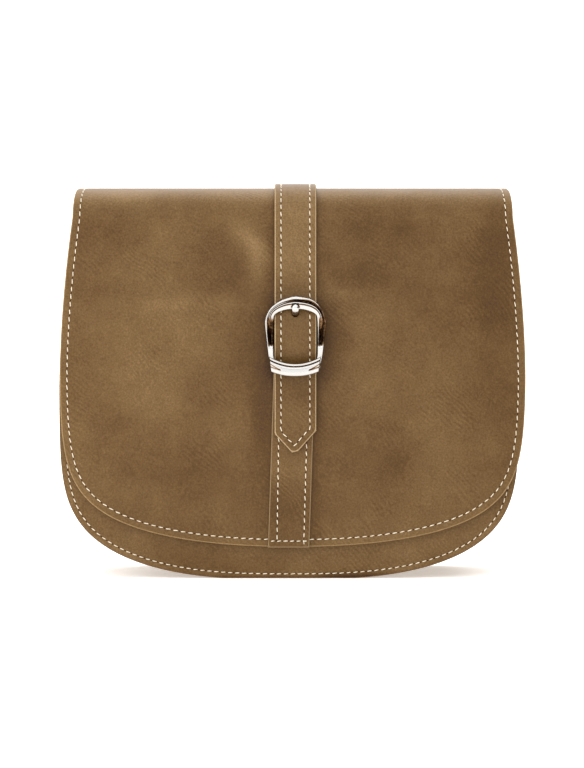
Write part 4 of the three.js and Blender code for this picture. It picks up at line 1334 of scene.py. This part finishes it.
# Every edge is hand sewn with fine cream waxed linen thread. Each stitch is a short slanted loop that
# dips into the leather at both ends, and each awl hole in the gap is a dark disc of painted shade.
THREAD = 0.46
STITCH_VISIBLE = 0.73  # the share of the pitch that a stitch covers
STITCH_SLANT = 7  # degrees
HOLE_LONG = 0.45
HOLE_WIDE = 0.62
# Where a stitch has its rings, from end to end, and a hole's rings with their share and level.
STITCH_RINGS = (-1, -0.92, -0.6, 0, 0.6, 0.92, 1)
HOLE_RINGS = ((1, -0.12), (1, 0.03), (0.75, 0.07))
draw = np.random.default_rng(7)

thread, tree = new_material("waxed_linen_thread")
where = add_node(tree, "ShaderNodeTexCoord").outputs["Object"]
ply = add_node(
    tree, "ShaderNodeTexNoise", {"Scale": 1 / (0.5 * MM), "Detail": 3}, {"Vector": where},
)
soiled = add_node(
    tree, "ShaderNodeValToRGB", links={"Fac": ply.outputs["Fac"]},
    stops=[(0.3, "C0B092"), (0.65, "EFE6D3")],
)
fuzz = add_node(
    tree, "ShaderNodeBump", {"Strength": 0.4, "Distance": 0.1 * MM},
    {"Height": ply.outputs["Fac"]},
)
twine = add_node(
    tree, "ShaderNodeBsdfPrincipled", {"Roughness": 0.6, "Sheen Weight": 0.2},
    {"Base Color": soiled.outputs["Color"], "Normal": fuzz.outputs["Normal"]},
)
add_node(tree, "ShaderNodeOutputMaterial", links={"Surface": twine.outputs["BSDF"]})
# The awl holes' dark finish is painted shade.
awl_hole_shade = fibrous_leather("shaded_awl_hole", "1E1309", "2C1D0F", 0.5, 0.95)


def unit(steps):
    return steps / np.sqrt((steps ** 2).sum(-1))[..., None]


def sew(name, rows):
    """Rows of stitches as one mesh with their awl holes. Each row gives its line on a flat
    pattern, that pattern's place, its leather's thickness and the pitch."""
    points, faces, finish_of, count = [], [], [], 0
    turns = np.radians(np.arange(0, 360, 45))
    sides = len(turns)
    for line, place, thickness, pitch in rows:
        foot = place(*line.T, np.full(len(line), thickness - GROOVE_DEPTH))
        above = place(*line.T, np.full(len(line), thickness + 1.0))
        walk = walk_along(foot)
        stitches = round(walk[-1] / pitch)
        pitch = walk[-1] / stitches
        middles = (np.arange(stitches) + 0.5) * pitch
        for is_hole, stops in ((False, middles), (True, np.arange(stitches + 1) * pitch)):
            centre = points_at(stops, walk, foot)
            normal = points_at(stops, walk, above - foot)
            run = unit(points_at(stops + 0.8, walk, foot) - points_at(stops - 0.8, walk, foot))
            normal = unit(normal - (normal * run).sum(1)[:, None] * run)
            across = np.cross(normal, run)
            rings = []
            if is_hole:
                for scale, level in HOLE_RINGS:
                    rings.append(
                        centre[:, None]
                        + run[:, None] * np.cos(turns)[:, None] * HOLE_LONG * scale
                        + across[:, None] * np.sin(turns)[:, None] * HOLE_WIDE / 2 * scale
                        + normal[:, None] * level
                    )
            else:
                slant = np.radians(STITCH_SLANT + draw.normal(0, 3, len(stops)))
                lean = np.cos(slant)[:, None] * run + np.sin(slant)[:, None] * across
                over = np.cross(normal, lean)
                half = pitch * STITCH_VISIBLE / 2 * draw.normal(1, 0.04, len(stops))
                for s in STITCH_RINGS:
                    radius = THREAD / 2 * (1 - 0.25 * abs(s) ** 3)
                    radius *= 1 + 0.08 * np.cos(2 * turns + 5 * s)
                    level = 0.2 - 0.62 * s ** 4
                    rings.append(
                        centre[:, None]
                        + lean[:, None] * (half * s)[:, None, None]
                        + normal[:, None] * (level + 0.82 * radius * np.sin(turns))[:, None]
                        + over[:, None] * (radius * np.cos(turns))[:, None]
                    )
            layers = len(rings)
            starts = count + np.arange(len(stops)) * layers * sides
            skin = ring_faces(layers, sides)
            faces += (starts[:, None, None] + skin).reshape(-1, 4).tolist()
            top = (layers - 1) * sides + np.arange(sides)
            faces += (starts[:, None] + top).tolist()
            faces += (starts[:, None] + np.arange(sides)[::-1]).tolist()
            points.append(np.stack(rings, 1).reshape(-1, 3))
            finish_of += [int(is_hole)] * (len(stops) * (len(skin) + 2))
            count += len(stops) * layers * sides
    return new_piece(name, np.vstack(points), faces, [thread, awl_hole_shade], finish_of)


along_flange = np.linspace(3, outline_length - 3, 900)
flange_rows = [
    np.column_stack([along_flange, np.full(900, side * (1 - GUSSET_MARGIN / section_length))])
    for side in (-1, 1)
]
sew("saddle_stitching", [
    (flap_seam, off_flap, FLAP_LEATHER, 3.9),
    (panel_seam, place_front, PANEL_LEATHER, 3.6),
    (panel_seam, place_back, PANEL_LEATHER, 3.6),
    (closure_seam, place_closure, STRAP_LEATHER, 3.86),
    *((seam, place_base, BASE_STRAP_LEATHER, 3.86) for seam in base_seams),
    (base_hem, place_base, BASE_STRAP_LEATHER, 3.6),
    *((row, place_gusset, GUSSET_LEATHER, 3.6) for row in flange_rows),
])
